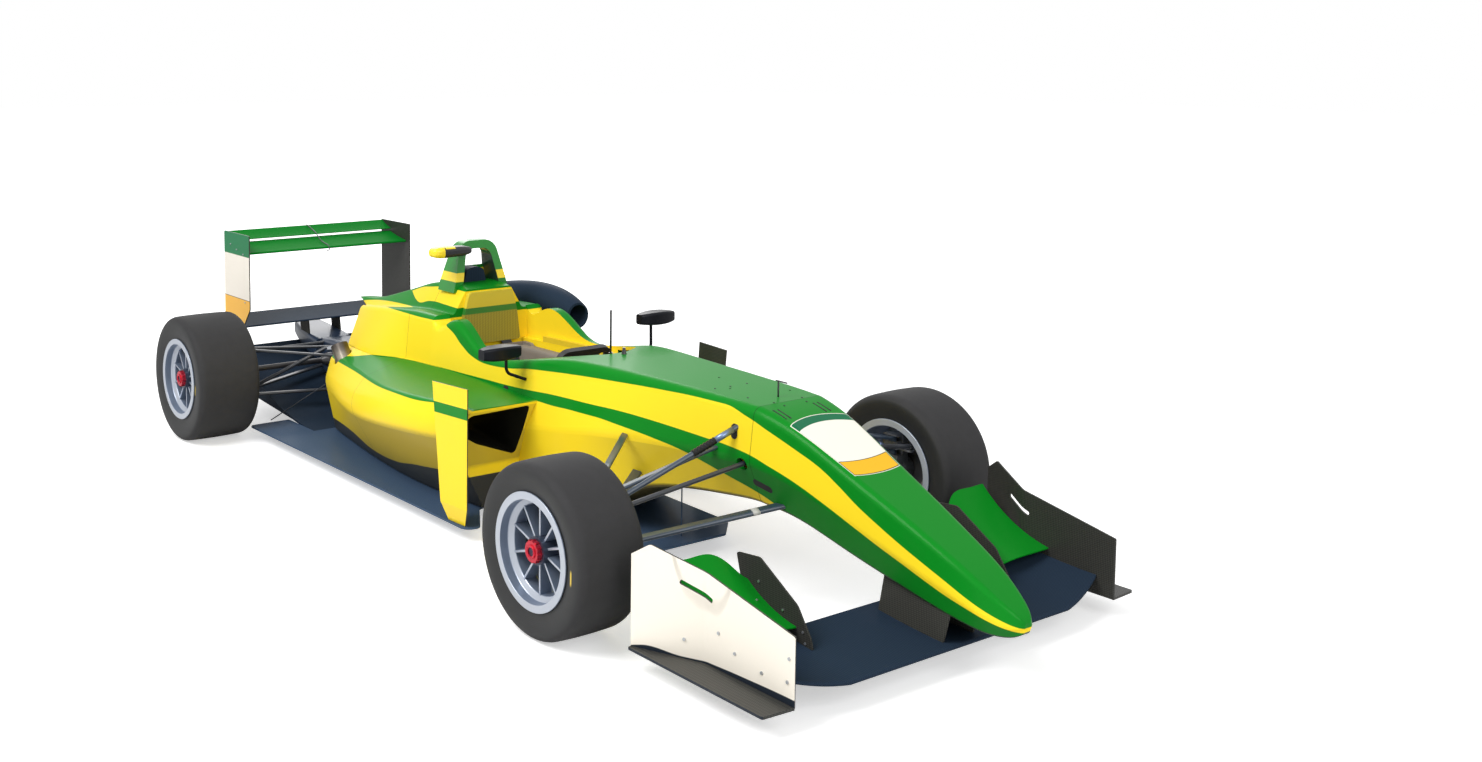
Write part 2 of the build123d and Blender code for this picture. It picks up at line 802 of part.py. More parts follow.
def front_endplates():
    """Endplate that flares outwards at its rear, with a foot along its lower edge."""
    wall = plan_plate(endplate_line(0, 1745) + endplate_line(plate_thickness, 1745)[::-1], 62, 420)
    profile = side_plate([
        (2306, 70, 6),
        (2306, 264, 8),
        (1960, 336, 60),
        (1800, 386, 14),
        (1740, 344, 10),
        (1740, 70, 6),
    ], -900, -600)
    wall = wall.intersect(profile).solid()
    slot = strip_corners((1886, 296), (1986, 260), 7, 5)
    wall = cut(wall, side_plate(slot, -900, -600))
    middle = endplate_line(plate_thickness / 2, 1747)
    foot = plan_plate(middle + [(1747, -812, 4), (2298, -812, 8)], 66, 74)
    return pair(joined(wall, foot))


def nose_pylons():
    """Pair of plates that hang the front wing from the nose."""
    corners = [(2058, 300, 4), (2022, 90, 4), (2262, 70, 4), (2304, 250, 4)]
    return pair(cut(side_plate(corners, -70, -62), front_plane(seat_gap), nose_skin(seat_gap)))


def rear_span():
    """Half-width of an element that fits between the rear endplates."""
    return rear_wing_half_span - plate_thickness - seat_gap


def rear_wing_main():
    return aerofoil(**main_plane, y_low=-rear_span(), y_high=rear_span())


def rear_wing_flap():
    return aerofoil(**rear_flap, y_low=-rear_span(), y_high=rear_span())


def rear_endplates():
    """Upright plates that join the rear wing to the beam wing."""
    corners = [
        (rear_endplate_front_x, rear_endplate_top_z, 8),
        (tail_x, rear_endplate_top_z, 8),
        (tail_x, 430, 20),
        (-1700, 420, 20),
        (rear_endplate_front_x, 530, 20),
    ]
    return pair(side_plate(corners, -rear_wing_half_span, -rear_wing_half_span + plate_thickness))


def beam_wing():
    return aerofoil(**beam_plane, y_low=-rear_span(), y_high=rear_span())


def wing_pylons():
    """Pair of brackets from the gearbox to the beam wing."""
    corners = [(-1690, 330, 4), (-1776, 330, 4), (-1806, 478, 4), (-1716, 478, 4)]
    plate = side_plate(corners, -92, -84)
    wing = aerofoil(**beam_plane, y_low=-200, y_high=0, grow=seat_gap)
    return pair(cut(plate, wing, gearbox_shape(seat_gap)))


def engine():
    """Engine as one block between the tank and the gearbox."""
    length = tub_back_x - seat_gap - engine_back_x
    return Solid.make_box(length, 2 * engine_half_width, 330, Plane((engine_back_x, -engine_half_width, 90)))


# Columns: station x, bottom z, top z, half-width, corner radius
gearbox_rows = [
    (engine_back_x - seat_gap, 110, 400, 150, 20),
    (-1150, 120, 390, 110, 24),
    (-1400, 150, 372, 92, 24),
    (gearbox_back_x, 205, 352, 80, 24),
]
crash_rows = [
    (gearbox_back_x, 240, 352, 100, 20),
    (-1760, 285, 372, 98, 18),
    (-1894, 330, 392, 74, 16),
]


@cache
def gearbox_shape(grow=0):
    """Tapering gearbox casing with its output flanges, rocker shelf and rear crash structure."""
    def outline(z_low, z_top, half_width, radius):
        return both_sides([(half_width, z_low, radius), (half_width, z_top, radius)])

    case = loft_sections(gearbox_rows, outline, -grow)
    tail = loft_sections(crash_rows, outline, -grow)
    half = output_half_span + grow
    flange_plane = Plane(origin=(rear_axle_x, -half, rear_tyre_radius), z_dir=(0, 1, 0))
    flanges = Solid.make_cylinder(boot_radius + 4 + grow, 2 * half, flange_plane)
    shelf_half = [(-1190, 150, 10), (-1226, 240, 12), (-1276, 240, 12), (-1300, 150, 10)]
    shelf = plan_plate(inset(shelf_half + [(x, -y, r) for x, y, r in reversed(shelf_half)], -grow),
                       364 - grow, 376 + grow)
    return joined(case, tail, flanges, shelf)


def gearbox():
    return gearbox_shape()


def mirror(side, head_z, bend_z):
    """Mirror on a curved stem from the cockpit's side; side is -1 for the right."""
    wires = []
    # Columns: y, half-length along the car, half-height
    for y, half_length, half_height in ((292, 18, 20), (330, 30, 24), (430, 30, 24), (462, 20, 20)):
        corners = [(u * half_length, v * half_height, 9) for u, v in square_corners]
        wires.append(rounded_wire(lambda u, v, y=y: Vector(448 + u, side * y, head_z + v), corners))
    head = Solid.make_loft(wires, False)
    points = [(450, side * 352, head_z - 9), (452, side * 352, bend_z), (462, side * 270, bend_z - 33)]
    wire = FilletPolyline(*points, radius=30)
    stem = sweep(Plane(origin=wire @ 0, z_dir=wire % 0) * Circle(6), path=wire).solid()
    return cut(joined(head, stem), tub_skin(seat_gap))


def aerials():
    """Radio aerial on the binnacle, with a cone and a pitot tube on the chassis ahead of it."""
    tub = tub_skin(seat_gap)
    aerial_x = dash_x + binnacle_depth - 14
    foot = binnacle_top_z + seat_gap
    aerial = joined(
        rod((aerial_x, 0, foot), (aerial_x, 0, 816), 4),
        rod((aerial_x, 0, foot), (aerial_x, 0, foot + 14), 7),
    )
    cone = Solid.make_cone(15, 5, 50, Plane((716, 0, 636)))
    pitot = joined(rod((1521, 0, 640), (1521, 0, 712), 3), rod((1510, 0, 710), (1560, 0, 710), 2.5))
    return [aerial, cut(cone, tub), cut(pitot, tub)]


def seat():
    """Moulded seat shell, reclined between the tub's sides."""
    low = tub_low_z + tub_wall + seat_gap
    back = headrest_x + 24
    outer = [(back, 548, 8), (back, 300, 60), (-60, low, 60), (330, low, 30), (330, low + 74, 20),
             (60, low + 130, 90), (back + 70, 548, 20)]
    inner = [(back + 14, 640, 10), (back + 14, 320, 50), (-10, low + 20, 60), (360, low + 20, 10),
             (360, 700, 20), (100, 700, 20)]
    return cut(side_plate(outer, -168, 168), side_plate(inner, -153, 153))


def cockpit_padding():
    """Foam strip on the ledge along each side of the cockpit opening."""
    low = opening_floor_z + seat_gap
    ring = cut(
        plan_plate(opening_outline(seat_gap), low, low + 22),
        plan_plate(opening_outline(cockpit_side_ledge + 4), low - 5, low + 30),
    )
    strip = ring.intersect(Solid.make_box(480, 400, 60, Plane((-60, -400, low - 10)))).solid()
    return pair(cut(strip, well_prism(seat_gap)))


def steering_wheel():
    """Flat-topped wheel with two grips and the column that its hub turns on."""
    tilt = radians(steering_wheel_tilt)
    place = Plane(
        origin=(steering_wheel_x, 0, steering_wheel_z),
        x_dir=(0, 1, 0),
        z_dir=(-cos(tilt), 0, sin(tilt)),
    )

    def local(u, v, w=0):
        return place.from_local_coords(Vector(u, v, w))

    outer = [(130, -70, 50), (130, 66, 40), (-130, 66, 40), (-130, -70, 50)]
    plate = Solid.extrude(Face(rounded_wire(local, outer)), place.z_dir * 24)
    for side in (-1, 1):
        grip = [(side * 104, -46, 12), (side * 104, 44, 12), (side * 62, 44, 12), (side * 62, -46, 12)]
        hole = Face(rounded_wire(lambda u, v: local(u, v, -5), grip))
        plate = cut(plate, Solid.extrude(hole, place.z_dir * 40))
    return joined(plate, steering_axis_rod(column_radius, -2, 160))


def eye(axle_x, pin_y, z):
    """Ring of a suspension arm's outer end, round the upright's pin."""
    ring = Solid.make_cylinder(eye_radius, eye_height, Plane((axle_x, -pin_y, z - eye_height / 2)))
    bore = Solid.make_cylinder(pin_radius + seat_gap, 200, Plane((axle_x, -pin_y, z - 100)))
    return ring, bore


def wishbone(axle_x, pin_y, z, arms, chord, thickness, cutters):
    """Two arms that meet at an eye, their inner ends trimmed by what carries them."""
    ring, bore = eye(axle_x, pin_y, z)
    centre = (axle_x, -pin_y, z)
    legs = [aero_arm(inner, centre, chord, thickness) for inner in arms]
    flat = Solid.make_box(80, 60, 200, Plane((axle_x - 40, -pin_y - 40, z - 100)))
    flat = flat.cut(Solid.make_box(80, 60, eye_height, Plane((axle_x - 40, -pin_y - 40, z - eye_height / 2))))
    return cut(joined(ring, *legs), bore, flat, *cutters)


def front_suspension_side():
    """Right front wishbones and pushrod."""
    tub, nose = tub_skin(seat_gap), nose_skin(seat_gap)
    lower = wishbone(front_axle_x, front_pin_y, front_pin_low_z,
                     [(1668, -104, 351), (1000, -150, 324)], 40, 15, [tub, nose])
    upper = wishbone(front_axle_x, front_pin_y, front_pin_high_z,
                     [(1430, -130, 509), (970, -180, 464)], 26, 11, [tub])
    ring, bore = eye(front_axle_x, front_pin_y, pushrod_eye_z)
    centre = (front_axle_x, -front_pin_y, pushrod_eye_z)
    top = (1516, -140, 592)
    neck = tuple(a + (b - a) * 0.05 for a, b in zip(centre, top))
    pushrod = joined(ring, rod(neck, centre, pushrod_radius / 2), rod(top, neck, pushrod_radius))
    return [lower, upper, cut(pushrod, bore, tub)]


def rear_suspension_side():
    """Right rear wishbones with the pushrod, the toe link and the floor's stay wire."""
    gear = gearbox_shape(seat_gap)
    low = (rear_axle_x, -rear_pin_y, rear_pin_low_z)
    high = (rear_axle_x, -rear_pin_y, rear_pin_high_z)
    lower = wishbone(rear_axle_x, rear_pin_y, rear_pin_low_z,
                     [reach(low, (-1265, -200, 174), -60), (-1584, -60, 224)], 30, 12, [gear])
    foot = (-1433, -556, 180)
    pushrod = cut(rod(foot, reach(foot, (-1284, -300, 338), -228), pushrod_radius), gear)
    upper_arms = [reach(high, (-1170, -200, 351), -60), reach(high, (-1340, -200, 367), -60)]
    upper = wishbone(rear_axle_x, rear_pin_y, rear_pin_high_z, upper_arms, 24, 11, [gear])
    toe_x = rear_axle_x - 96
    ring, bore = eye(toe_x, rear_pin_y, 350)
    toe_rod = rod((toe_x, -rear_pin_y, 350), (-1560, -60, 338), pushrod_radius)
    toe_link = cut(joined(ring, toe_rod), bore, gear)
    stay = cut(rod((-1288, -500, floor_top_z + seat_gap + 2), (-955, -140, 392), 2.5), gear)
    return [joined(lower, pushrod), upper, toe_link, stay]


def caliper(axle_x, wheel_z, disc_y):
    """Brake caliper that straddles the rear of the disc, on the right-hand side."""
    reach_y = brake_disc_width / 2 + running_gap + caliper_cheek
    across = Plane(origin=(axle_x, -disc_y - reach_y, wheel_z), z_dir=(0, 1, 0))
    body = cut(
        Solid.make_cylinder(caliper_high_radius, 2 * reach_y, across),
        Solid.make_cylinder(caliper_low_radius, 2 * reach_y, across),
    )
    window_corner = (axle_x - caliper_high_radius, -disc_y - 1.5 * reach_y, wheel_z - caliper_half_height)
    window = Solid.make_box(caliper_high_radius, 3 * reach_y, 2 * caliper_half_height, Plane(window_corner))
    slot_half = brake_disc_width / 2 + running_gap
    slot = Solid.make_cylinder(brake_disc_radius + running_gap, 2 * slot_half,
                               Plane(origin=(axle_x, -disc_y - slot_half, wheel_z), z_dir=(0, 1, 0)))
    body = body.intersect(window).solid()
    bracket = Solid.make_box(70, caliper_cheek, 2 * 26,
                             Plane((axle_x - 100, -disc_y + slot_half, wheel_z - 26)))
    return joined(cut(body, slot), bracket)


def upright(axle_x, wheel_z, pin_y, eye_heights, disc_y):
    """Right-hand upright: a column slotted for the ball joints, a bearing housing and a caliper."""
    low, high = eye_heights[0] - column_end, eye_heights[-1] + column_end
    back_y = -pin_y - eye_radius - 4
    outline = [(axle_x + u * column_half_width, low if v < 0 else high, 8) for u, v in square_corners]
    body = side_plate(outline, back_y - 27, -pin_y + 12)
    for z in eye_heights:
        slot_low = z - eye_height / 2 - 1
        slot = Solid.make_box(4 * column_half_width, 60, eye_height + 4,
                              Plane((axle_x - 2 * column_half_width, back_y, slot_low)))
        body = body.cut(slot)
    pin = Solid.make_cylinder(pin_radius, high - low, Plane((axle_x, -pin_y, low)))
    housing_end = -disc_y + brake_disc_width / 2 + running_gap
    housing = Solid.make_cylinder(bearing_radius, back_y - 5 - housing_end,
                                  Plane(origin=(axle_x, housing_end, wheel_z), z_dir=(0, 1, 0)))
    return joined(body, pin, housing, caliper(axle_x, wheel_z, disc_y))


def front_upright():
    """Right front upright with its stub axle and steering arm."""
    eyes = (front_pin_low_z, pushrod_eye_z, front_pin_high_z)
    body = upright(front_axle_x, front_tyre_radius, front_pin_y, eyes, front_disc_y)
    axle_end = rim_face_y(front_track, front_rim_width) + 14
    axle_length = -front_disc_y + brake_disc_width / 2 + running_gap + 10 - axle_end
    axle = Solid.make_cylinder(axle_radius, axle_length, Plane(
        origin=(front_axle_x, axle_end, front_tyre_radius), z_dir=(0, 1, 0)))
    tip_x, tip_y, tip_z = steering_arm_tip(-1)
    arm = plan_plate([
        (front_axle_x + 10, -front_pin_y - 34, 4),
        (front_axle_x + 10, -front_pin_y + 8, 4),
        (tip_x - 4, tip_y + 12, 8),
        (tip_x + 12, tip_y + 8, 8),
        (tip_x + 10, tip_y - 12, 8),
        (front_axle_x + 30, -front_pin_y - 34, 4),
    ], steering_arm_z - 9, steering_arm_z - 1)
    pin = Solid.make_cylinder(4, eye_height + 4, Plane((tip_x, tip_y, steering_arm_z - 2)))
    return joined(body, axle, arm, pin)


def rear_upright():
    """Right rear upright, bored for the driveshaft, with a lug for the toe link."""
    eyes = (rear_pin_low_z, rear_pin_high_z)
    body = upright(rear_axle_x, rear_tyre_radius, rear_pin_y, eyes, rear_disc_y)
    toe_x = rear_axle_x - 96
    lugs = [
        plan_plate([
            (rear_axle_x - 20, -rear_pin_y - 40, 4),
            (toe_x - 14, -rear_pin_y - 14, 10),
            (toe_x - 14, -rear_pin_y + 10, 10),
            (rear_axle_x - 20, -rear_pin_y + 12, 4),
        ], z, z + 8)
        for z in (350 - eye_height / 2 - 9, 350 + eye_height / 2 + 3)
    ]
    pin = Solid.make_cylinder(pin_radius, 36, Plane((toe_x, -rear_pin_y, 334)))
    bore = Solid.make_cylinder(axle_radius + seat_gap, 200, Plane(
        origin=(rear_axle_x, -rear_pin_y - 100, rear_tyre_radius), z_dir=(0, 1, 0)))
    return cut(joined(body, *lugs, pin), bore)


def steering_rack():
    """Rack bar across the front of the tub with a track rod at each end."""
    bar = rod((rack_x, -rack_half_length, rack_z), (rack_x, rack_half_length, rack_z), rack_radius)
    pieces = [bar]
    for side in (-1, 1):
        x, y, z = steering_arm_tip(side)
        ball = Solid.make_sphere(rack_radius, Plane((rack_x, side * rack_half_length, rack_z)))
        ring = Solid.make_cylinder(eye_radius, eye_height - 6, Plane((x, y, z - eye_height / 2 + 3)))
        pieces += [ball, ring, track_rod_line(side, 0, 1, track_rod_radius)]
    rack = joined(*pieces)
    for side in (-1, 1):
        x, y, z = steering_arm_tip(side)
        rack = cut(rack, Solid.make_cylinder(9, 40, Plane((x, y, z - 20))))
    return rack


def tyre(axle_x, track, radius, width, rim_width):
    """Slick tyre: a ring turned about the axle, on the right-hand side."""
    y = -track / 2
    bead = rim_width / 2 - rim_wall - seat_gap
    half = width / 2
    bulge_radius = (radius + rim_lip_radius) / 2
    half_profile = [
        (bead, bead_seat_radius + seat_gap, 2),
        (bead, rim_lip_radius + 3, 2),
        (half, bulge_radius, 24),
        (half - 14, radius, 32),
    ]
    corners = [(y - v, r, fillet) for v, r, fillet in half_profile]
    corners += [(y + v, r, fillet) for v, r, fillet in reversed(half_profile)]
    wire = rounded_wire(lambda v, r: Vector(axle_x, v, radius + r), corners)
    return Solid.revolve(Face(wire), 360, Axis((axle_x, 0, radius), (0, 1, 0)))


def rim_face_y(track, rim_width):
    """Outer end of a right-hand wheel's hub, a little inside its outer lip."""
    return -(track + rim_width) / 2 + 24


def rim(axle_x, track, radius, rim_width, disc_y):
    """Cast wheel with its hub, nut and brake disc: a drop-centre barrel and a ring of deep thin spokes."""
    out = -(track + rim_width) / 2
    inn = out + rim_width
    # Columns: y, radius, fillet, along the outer face and back along the inner one
    profile = [
        (out, rim_lip_radius, 2),
        (out + rim_wall, rim_lip_radius, 2),
        (out + rim_wall, bead_seat_radius, 2),
        (out + 34, bead_seat_radius, 6),
        (out + 46, rim_well_radius, 6),
        (out + 82, rim_well_radius, 6),
        (out + 96, bead_seat_radius, 6),
        (inn - rim_wall, bead_seat_radius, 2),
        (inn - rim_wall, rim_lip_radius, 2),
        (inn, rim_lip_radius, 2),
        (inn, bead_seat_radius - rim_wall, 2),
        (out + 99, bead_seat_radius - rim_wall, 6),
        (out + 85, rim_well_radius - rim_wall, 6),
        (out + 43, rim_well_radius - rim_wall, 6),
        (out + 31, bead_seat_radius - rim_wall, 6),
        (out, bead_seat_radius - rim_wall, 2),
    ]
    axis = Axis((axle_x, 0, radius), (0, 1, 0))
    barrel_wire = rounded_wire(lambda v, r: Vector(axle_x, v, radius + r), profile)
    barrel = Solid.revolve(Face(barrel_wire), 360, axis)
    face_y = rim_face_y(track, rim_width)
    disc_end = -disc_y + brake_disc_width / 2

    def turned(r, y_low, y_high):
        return Solid.make_cylinder(r, y_high - y_low, Plane(origin=(axle_x, y_low, radius), z_dir=(0, 1, 0)))

    half = spoke_thickness / 2
    spoke = side_plate([
        (axle_x - half, radius + hub_radius - 8, 1),
        (axle_x - half, radius + rim_well_radius - rim_wall / 2, 1),
        (axle_x + half, radius + rim_well_radius - rim_wall / 2, 1),
        (axle_x + half, radius + hub_radius - 8, 1),
    ], out + 40, out + 40 + spoke_depth)
    spokes = [spoke.rotate(axis, 360 * k / spoke_count) for k in range(spoke_count)]
    pieces = [
        barrel,
        turned(hub_radius, face_y, disc_end),
        turned(wheel_nut_radius, face_y - 16, face_y + 2),
        turned(brake_disc_radius, disc_end - brake_disc_width, disc_end),
        *spokes,
    ]
    return joined(*pieces)


def front_rim():
    """Right front wheel, bored for the stub axle."""
    bore_start = rim_face_y(front_track, front_rim_width) + 13
    bore_end = -front_disc_y + brake_disc_width / 2 + 1
    bore = rod(
        (front_axle_x, bore_start, front_tyre_radius),
        (front_axle_x, bore_end, front_tyre_radius),
        axle_radius + seat_gap,
    )
    return cut(rim(front_axle_x, front_track, front_tyre_radius, front_rim_width, front_disc_y), bore)


def rear_rim():
    """Right rear wheel with the driveshaft that turns it."""
    wheel = rim(rear_axle_x, rear_track, rear_tyre_radius, rear_rim_width, rear_disc_y)
    disc_end = -rear_disc_y + brake_disc_width / 2
    boot_y = -rear_pin_y + 30
    flange_y = -output_half_span - seat_gap
    # Columns: y, radius
    profile = [
        (disc_end - 2, axle_radius),
        (boot_y, axle_radius),
        (boot_y, boot_radius),
        (boot_y + 26, boot_radius),
        (boot_y + 60, driveshaft_radius),
        (flange_y - 60, driveshaft_radius),
        (flange_y - 26, boot_radius),
        (flange_y, boot_radius),
        (flange_y, 0),
        (disc_end - 2, 0),
    ]
    wire = Wire.make_polygon([Vector(rear_axle_x, v, rear_tyre_radius + r) for v, r in profile], close=True)
    shaft = Solid.revolve(Face(wire), 360, Axis((rear_axle_x, 0, rear_tyre_radius), (0, 1, 0)))
    return joined(wheel, shaft)


car_parts = {}


def add(name, *solids):
    """Keep a finished piece under its node's name."""
    car_parts[name] = solids[0] if len(solids) == 1 else Compound(list(solids))


def add_pair(name, solid):
    """Keep a right-hand piece and its left-hand twin."""
    add(f"{name}_right", solid)
    add(f"{name}_left", mirrored(solid))


add("nose_cone", nose_cone())
add("monocoque", monocoque())
add("headrest", headrest())
add("dashboard", dashboard())
add("roll_hoop", roll_hoop())
add("camera_pod", camera_pod())
add("engine_cover", engine_cover())
add("sidepod_right", sidepod(-1))
add("sidepod_left", sidepod(1))
add("air_box", air_box())
add("exhaust_pipe", exhaust_pipe())
add("floor", floor())
add("diffuser", diffuser())
add("sidepod_vanes", sidepod_vanes())
add("front_wing_main", front_wing_main())
add("front_wing_flaps", front_wing_flaps())
add("front_endplates", front_endplates())
add("nose_pylons", nose_pylons())
add("rear_wing_main", rear_wing_main())
add("rear_wing_flap", rear_wing_flap())
add("rear_endplates", rear_endplates())
add("beam_wing", beam_wing())
add("wing_pylons", wing_pylons())
add("engine", engine())
add("gearbox", gearbox())
add("mirrors", mirror(-1, 664, 585), mirror(1, 721, 600))
add("aerials", *aerials())
add("seat", seat())
add("cockpit_padding", cockpit_padding())
add("steering_wheel", steering_wheel())
for name, side_pieces in (
    ("front_suspension", front_suspension_side()),
    ("rear_suspension", rear_suspension_side()),
    ("rear_uprights", [rear_upright()]),
):
    add(name, *side_pieces, *[mirrored(piece) for piece in side_pieces])
add_pair("front_upright", front_upright())
add("steering_rack", steering_rack())
add_pair("front_rim", front_rim())
add_pair("rear_rim", rear_rim())
add_pair("front_tyre", tyre(front_axle_x, front_track, front_tyre_radius, front_tyre_width, front_rim_width))
add_pair("rear_tyre", tyre(rear_axle_x, rear_track, rear_tyre_radius, rear_tyre_width, rear_rim_width))

os.makedirs("parts", exist_ok=True)
for name, shape in car_parts.items():
    shape = shape.moved(Location((mid_shift, 0, 0)))
    shape.label = name
    export_step(shape, f"parts/{name}.step")
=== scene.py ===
import math

import bpy
import numpy as np
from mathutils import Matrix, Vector


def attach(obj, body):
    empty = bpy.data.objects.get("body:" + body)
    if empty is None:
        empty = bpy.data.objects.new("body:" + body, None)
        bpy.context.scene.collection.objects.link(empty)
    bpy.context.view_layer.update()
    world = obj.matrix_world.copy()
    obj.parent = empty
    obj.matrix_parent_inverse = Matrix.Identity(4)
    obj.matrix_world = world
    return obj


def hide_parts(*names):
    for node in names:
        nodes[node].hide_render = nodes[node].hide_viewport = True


bpy.context.scene.view_settings.view_transform = "Standard"
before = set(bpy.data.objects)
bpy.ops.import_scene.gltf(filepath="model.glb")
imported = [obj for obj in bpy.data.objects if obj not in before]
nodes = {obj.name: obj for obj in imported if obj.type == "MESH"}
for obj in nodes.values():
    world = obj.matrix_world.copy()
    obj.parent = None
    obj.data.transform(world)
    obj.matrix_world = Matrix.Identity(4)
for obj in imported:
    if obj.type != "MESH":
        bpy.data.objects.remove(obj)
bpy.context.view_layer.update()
carSides = (("right", -1), ("left", 1))  # a side's label and the sign of y there
print("frame loaded:", len(nodes), "nodes")


# Colours and nodes

def hexColour(code):
    # sRGB to linear: c / 12.92 below 0.04045, else ((c + 0.055) / 1.055) ^ 2.4
    parts = [int(code[i:i + 2], 16) / 255 for i in (1, 3, 5)]
    return [c / 12.92 if c <= 0.04045 else ((c + 0.055) / 1.055) ** 2.4 for c in parts] + [1.0]


def addNode(tree, kind, settings=None, **sockets):
    # a node with its settings; i0, i1 ... are inputs by number, the others by name with _ for a space
    node = tree.nodes.new("ShaderNode" + kind)
    for key, value in (settings or {}).items():
        setattr(node, key, value)
    for key, value in sockets.items():
        numbered = key[0] == "i" and key[1:].isdigit()
        socket = node.inputs[int(key[1:])] if numbered else node.inputs[key.replace("_", " ")]
        if isinstance(value, bpy.types.NodeSocket):
            tree.links.new(value, socket)
        else:
            socket.default_value = value
    return node


def startMaterial(name, **values):
    # a node tree with its surface shader, which takes the values; returns material, tree and shader
    material = bpy.data.materials.new(name)
    material.use_nodes = True
    tree = material.node_tree
    tree.nodes.clear()
    shader = addNode(tree, "BsdfPrincipled", **values)
    addNode(tree, "OutputMaterial", Surface=shader.outputs[0])
    return material, tree, shader


def placeOf(tree):
    # the point in the piece's own coordinates, in metres: vector, x, y, z
    vector = addNode(tree, "TexCoord").outputs["Object"]
    split = addNode(tree, "SeparateXYZ", i0=vector)
    return vector, split.outputs[0], split.outputs[1], split.outputs[2]


def facingOf(tree):
    # the surface's normal: x, y, z
    return addNode(tree, "SeparateXYZ", i0=addNode(tree, "NewGeometry").outputs["Normal"]).outputs


def stepOver(tree, value, edge, soft=0.0012):
    # 0 below edge, 1 above it, smooth over soft metres to each side
    gap = addNode(tree, "Math", {"operation": "SUBTRACT"}, i0=value, i1=edge).outputs[0]
    ramp = addNode(tree, "MapRange", {"interpolation_type": "SMOOTHSTEP"},
                   Value=gap, From_Min=-soft, From_Max=soft)
    return ramp.outputs[0]


def product(tree, *values):
    result = values[0]
    for value in values[1:]:
        result = addNode(tree, "Math", {"operation": "MULTIPLY"}, i0=result, i1=value).outputs[0]
    return result


def larger(tree, *values):
    result = values[0]
    for value in values[1:]:
        result = addNode(tree, "Math", {"operation": "MAXIMUM"}, i0=result, i1=value).outputs[0]
    return result


def flip(tree, value):
    return addNode(tree, "Math", {"operation": "SUBTRACT"}, i0=1.0, i1=value).outputs[0]


def stepUnder(tree, value, edge, soft=0.0012):
    # 1 below edge, 0 above it
    return flip(tree, stepOver(tree, value, edge, soft))


def between(tree, value, low, high, soft=0.0012):
    # 1 from low to high, 0 elsewhere
    return product(tree, stepOver(tree, value, low, soft), stepUnder(tree, value, high, soft))


def outwardness(tree, y, facing):
    # 1 where a face looks straight away from the centre plane, -1 where it looks straight at it
    sign = addNode(tree, "Math", {"operation": "SIGN"}, i0=y).outputs[0]
    return product(tree, facing[1], sign)


def mixColour(tree, factor, first, second):
    node = addNode(tree, "Mix", {"data_type": "RGBA"}, i0=factor, i6=first, i7=second)
    return node.outputs[2]


def edgeLine(tree, x, rows):
    # height of a paint edge above the ground, from rows of (x, z) in metres
    first, last = rows[0][0], rows[-1][0]
    share = addNode(tree, "MapRange", Value=x, From_Min=first, From_Max=last).outputs[0]
    node = addNode(tree, "FloatCurve", Value=share)
    curve = node.mapping.curves[0]
    while len(curve.points) < len(rows):
        curve.points.new(0.5, 0.5)
    for point, (along, height) in zip(curve.points, rows):
        point.location = ((along - first) / (last - first), height)
        point.handle_type = "AUTO_CLAMPED"
    node.mapping.update()
    return node.outputs[0]


def nearLine(tree, value, centre, half):
    # 1 within half of centre, 0 elsewhere
    gap = addNode(tree, "Math", {"operation": "SUBTRACT"}, i0=value, i1=centre).outputs[0]
    size = addNode(tree, "Math", {"operation": "ABSOLUTE"}, i0=gap).outputs[0]
    return addNode(tree, "MapRange", {"interpolation_type": "SMOOTHSTEP"}, Value=size,
                   From_Min=half * 0.6, From_Max=half * 1.3, To_Min=1.0, To_Max=0.0).outputs[0]


def bumped(tree, shader, height, depth, strength):
    bump = addNode(tree, "Bump", Height=height, Distance=depth, Strength=strength)
    tree.links.new(bump.outputs[0], shader.inputs["Normal"])


def orangePeel(tree, shader, vector):
    # sprayed lacquer: a shallow ripple about 6 mm across
    noise = addNode(tree, "TexNoise", Vector=vector, Scale=170.0, Detail=1.0)
    bumped(tree, shader, noise.outputs["Fac"], 0.00025, 0.25)


# Bodywork paint: two-colour polyurethane lacquer over moulded carbon fibre

paintLook = {
    "green": "#0b821f",
    "yellow": "#ffde2a",
    # underside: the pod's dark base, and the painted shade on faces that look down
    "underside": "#3b3c3b",
    # dark grey inside the cooling duct: painted shade
    "bareCloth": "#23231d",
    "seam": "#123a16",
    "roughness": 0.34,
    "ior": 1.15,
    "coat": 0.07,
    "coatRoughness": 0.1,
    "undersideFrom": -0.2,
    "undersideTo": -0.75,
    "undersideShare": 0.9,
    "seamShare": 0.75,
}

# edges of the paint along the car, in metres: x, z
topEdge = [
    (-1.60, 0.580), (-1.413, 0.612), (-1.20, 0.640), (-1.00, 0.658), (-0.842, 0.668), (-0.626, 0.674),
    (-0.454, 0.679), (-0.36, 0.662), (-0.264, 0.612), (-0.18, 0.578), (-0.09, 0.566), (0.05, 0.574),
    (0.157, 0.590), (0.291, 0.603), (0.41, 0.612), (0.633, 0.624), (0.85, 0.635), (1.051, 0.641),
    (1.143, 0.641), (1.244, 0.621), (1.335, 0.590), (1.434, 0.555), (1.532, 0.518), (1.61, 0.475),
    (1.68, 0.431), (1.759, 0.389), (1.839, 0.350), (1.917, 0.315), (1.991, 0.283), (2.06, 0.252),
    (2.124, 0.226), (2.20, 0.198),
]
stripeTop = [
    (-1.30, 0.405), (-1.065, 0.438), (-0.912, 0.466), (-0.71, 0.484), (-0.42, 0.497), (-0.099, 0.507),
    (0.045, 0.510), (0.185, 0.516), (0.313, 0.524), (0.55, 0.528), (0.66, 0.530), (0.874, 0.526),
    (0.976, 0.522), (1.073, 0.518), (1.167, 0.514), (1.265, 0.503), (1.344, 0.482), (1.44, 0.454),
    (1.56, 0.410), (1.686, 0.358), (1.763, 0.326), (1.843, 0.296), (1.916, 0.268), (1.986, 0.243),
    (2.061, 0.222), (2.127, 0.204), (2.20, 0.184),
]
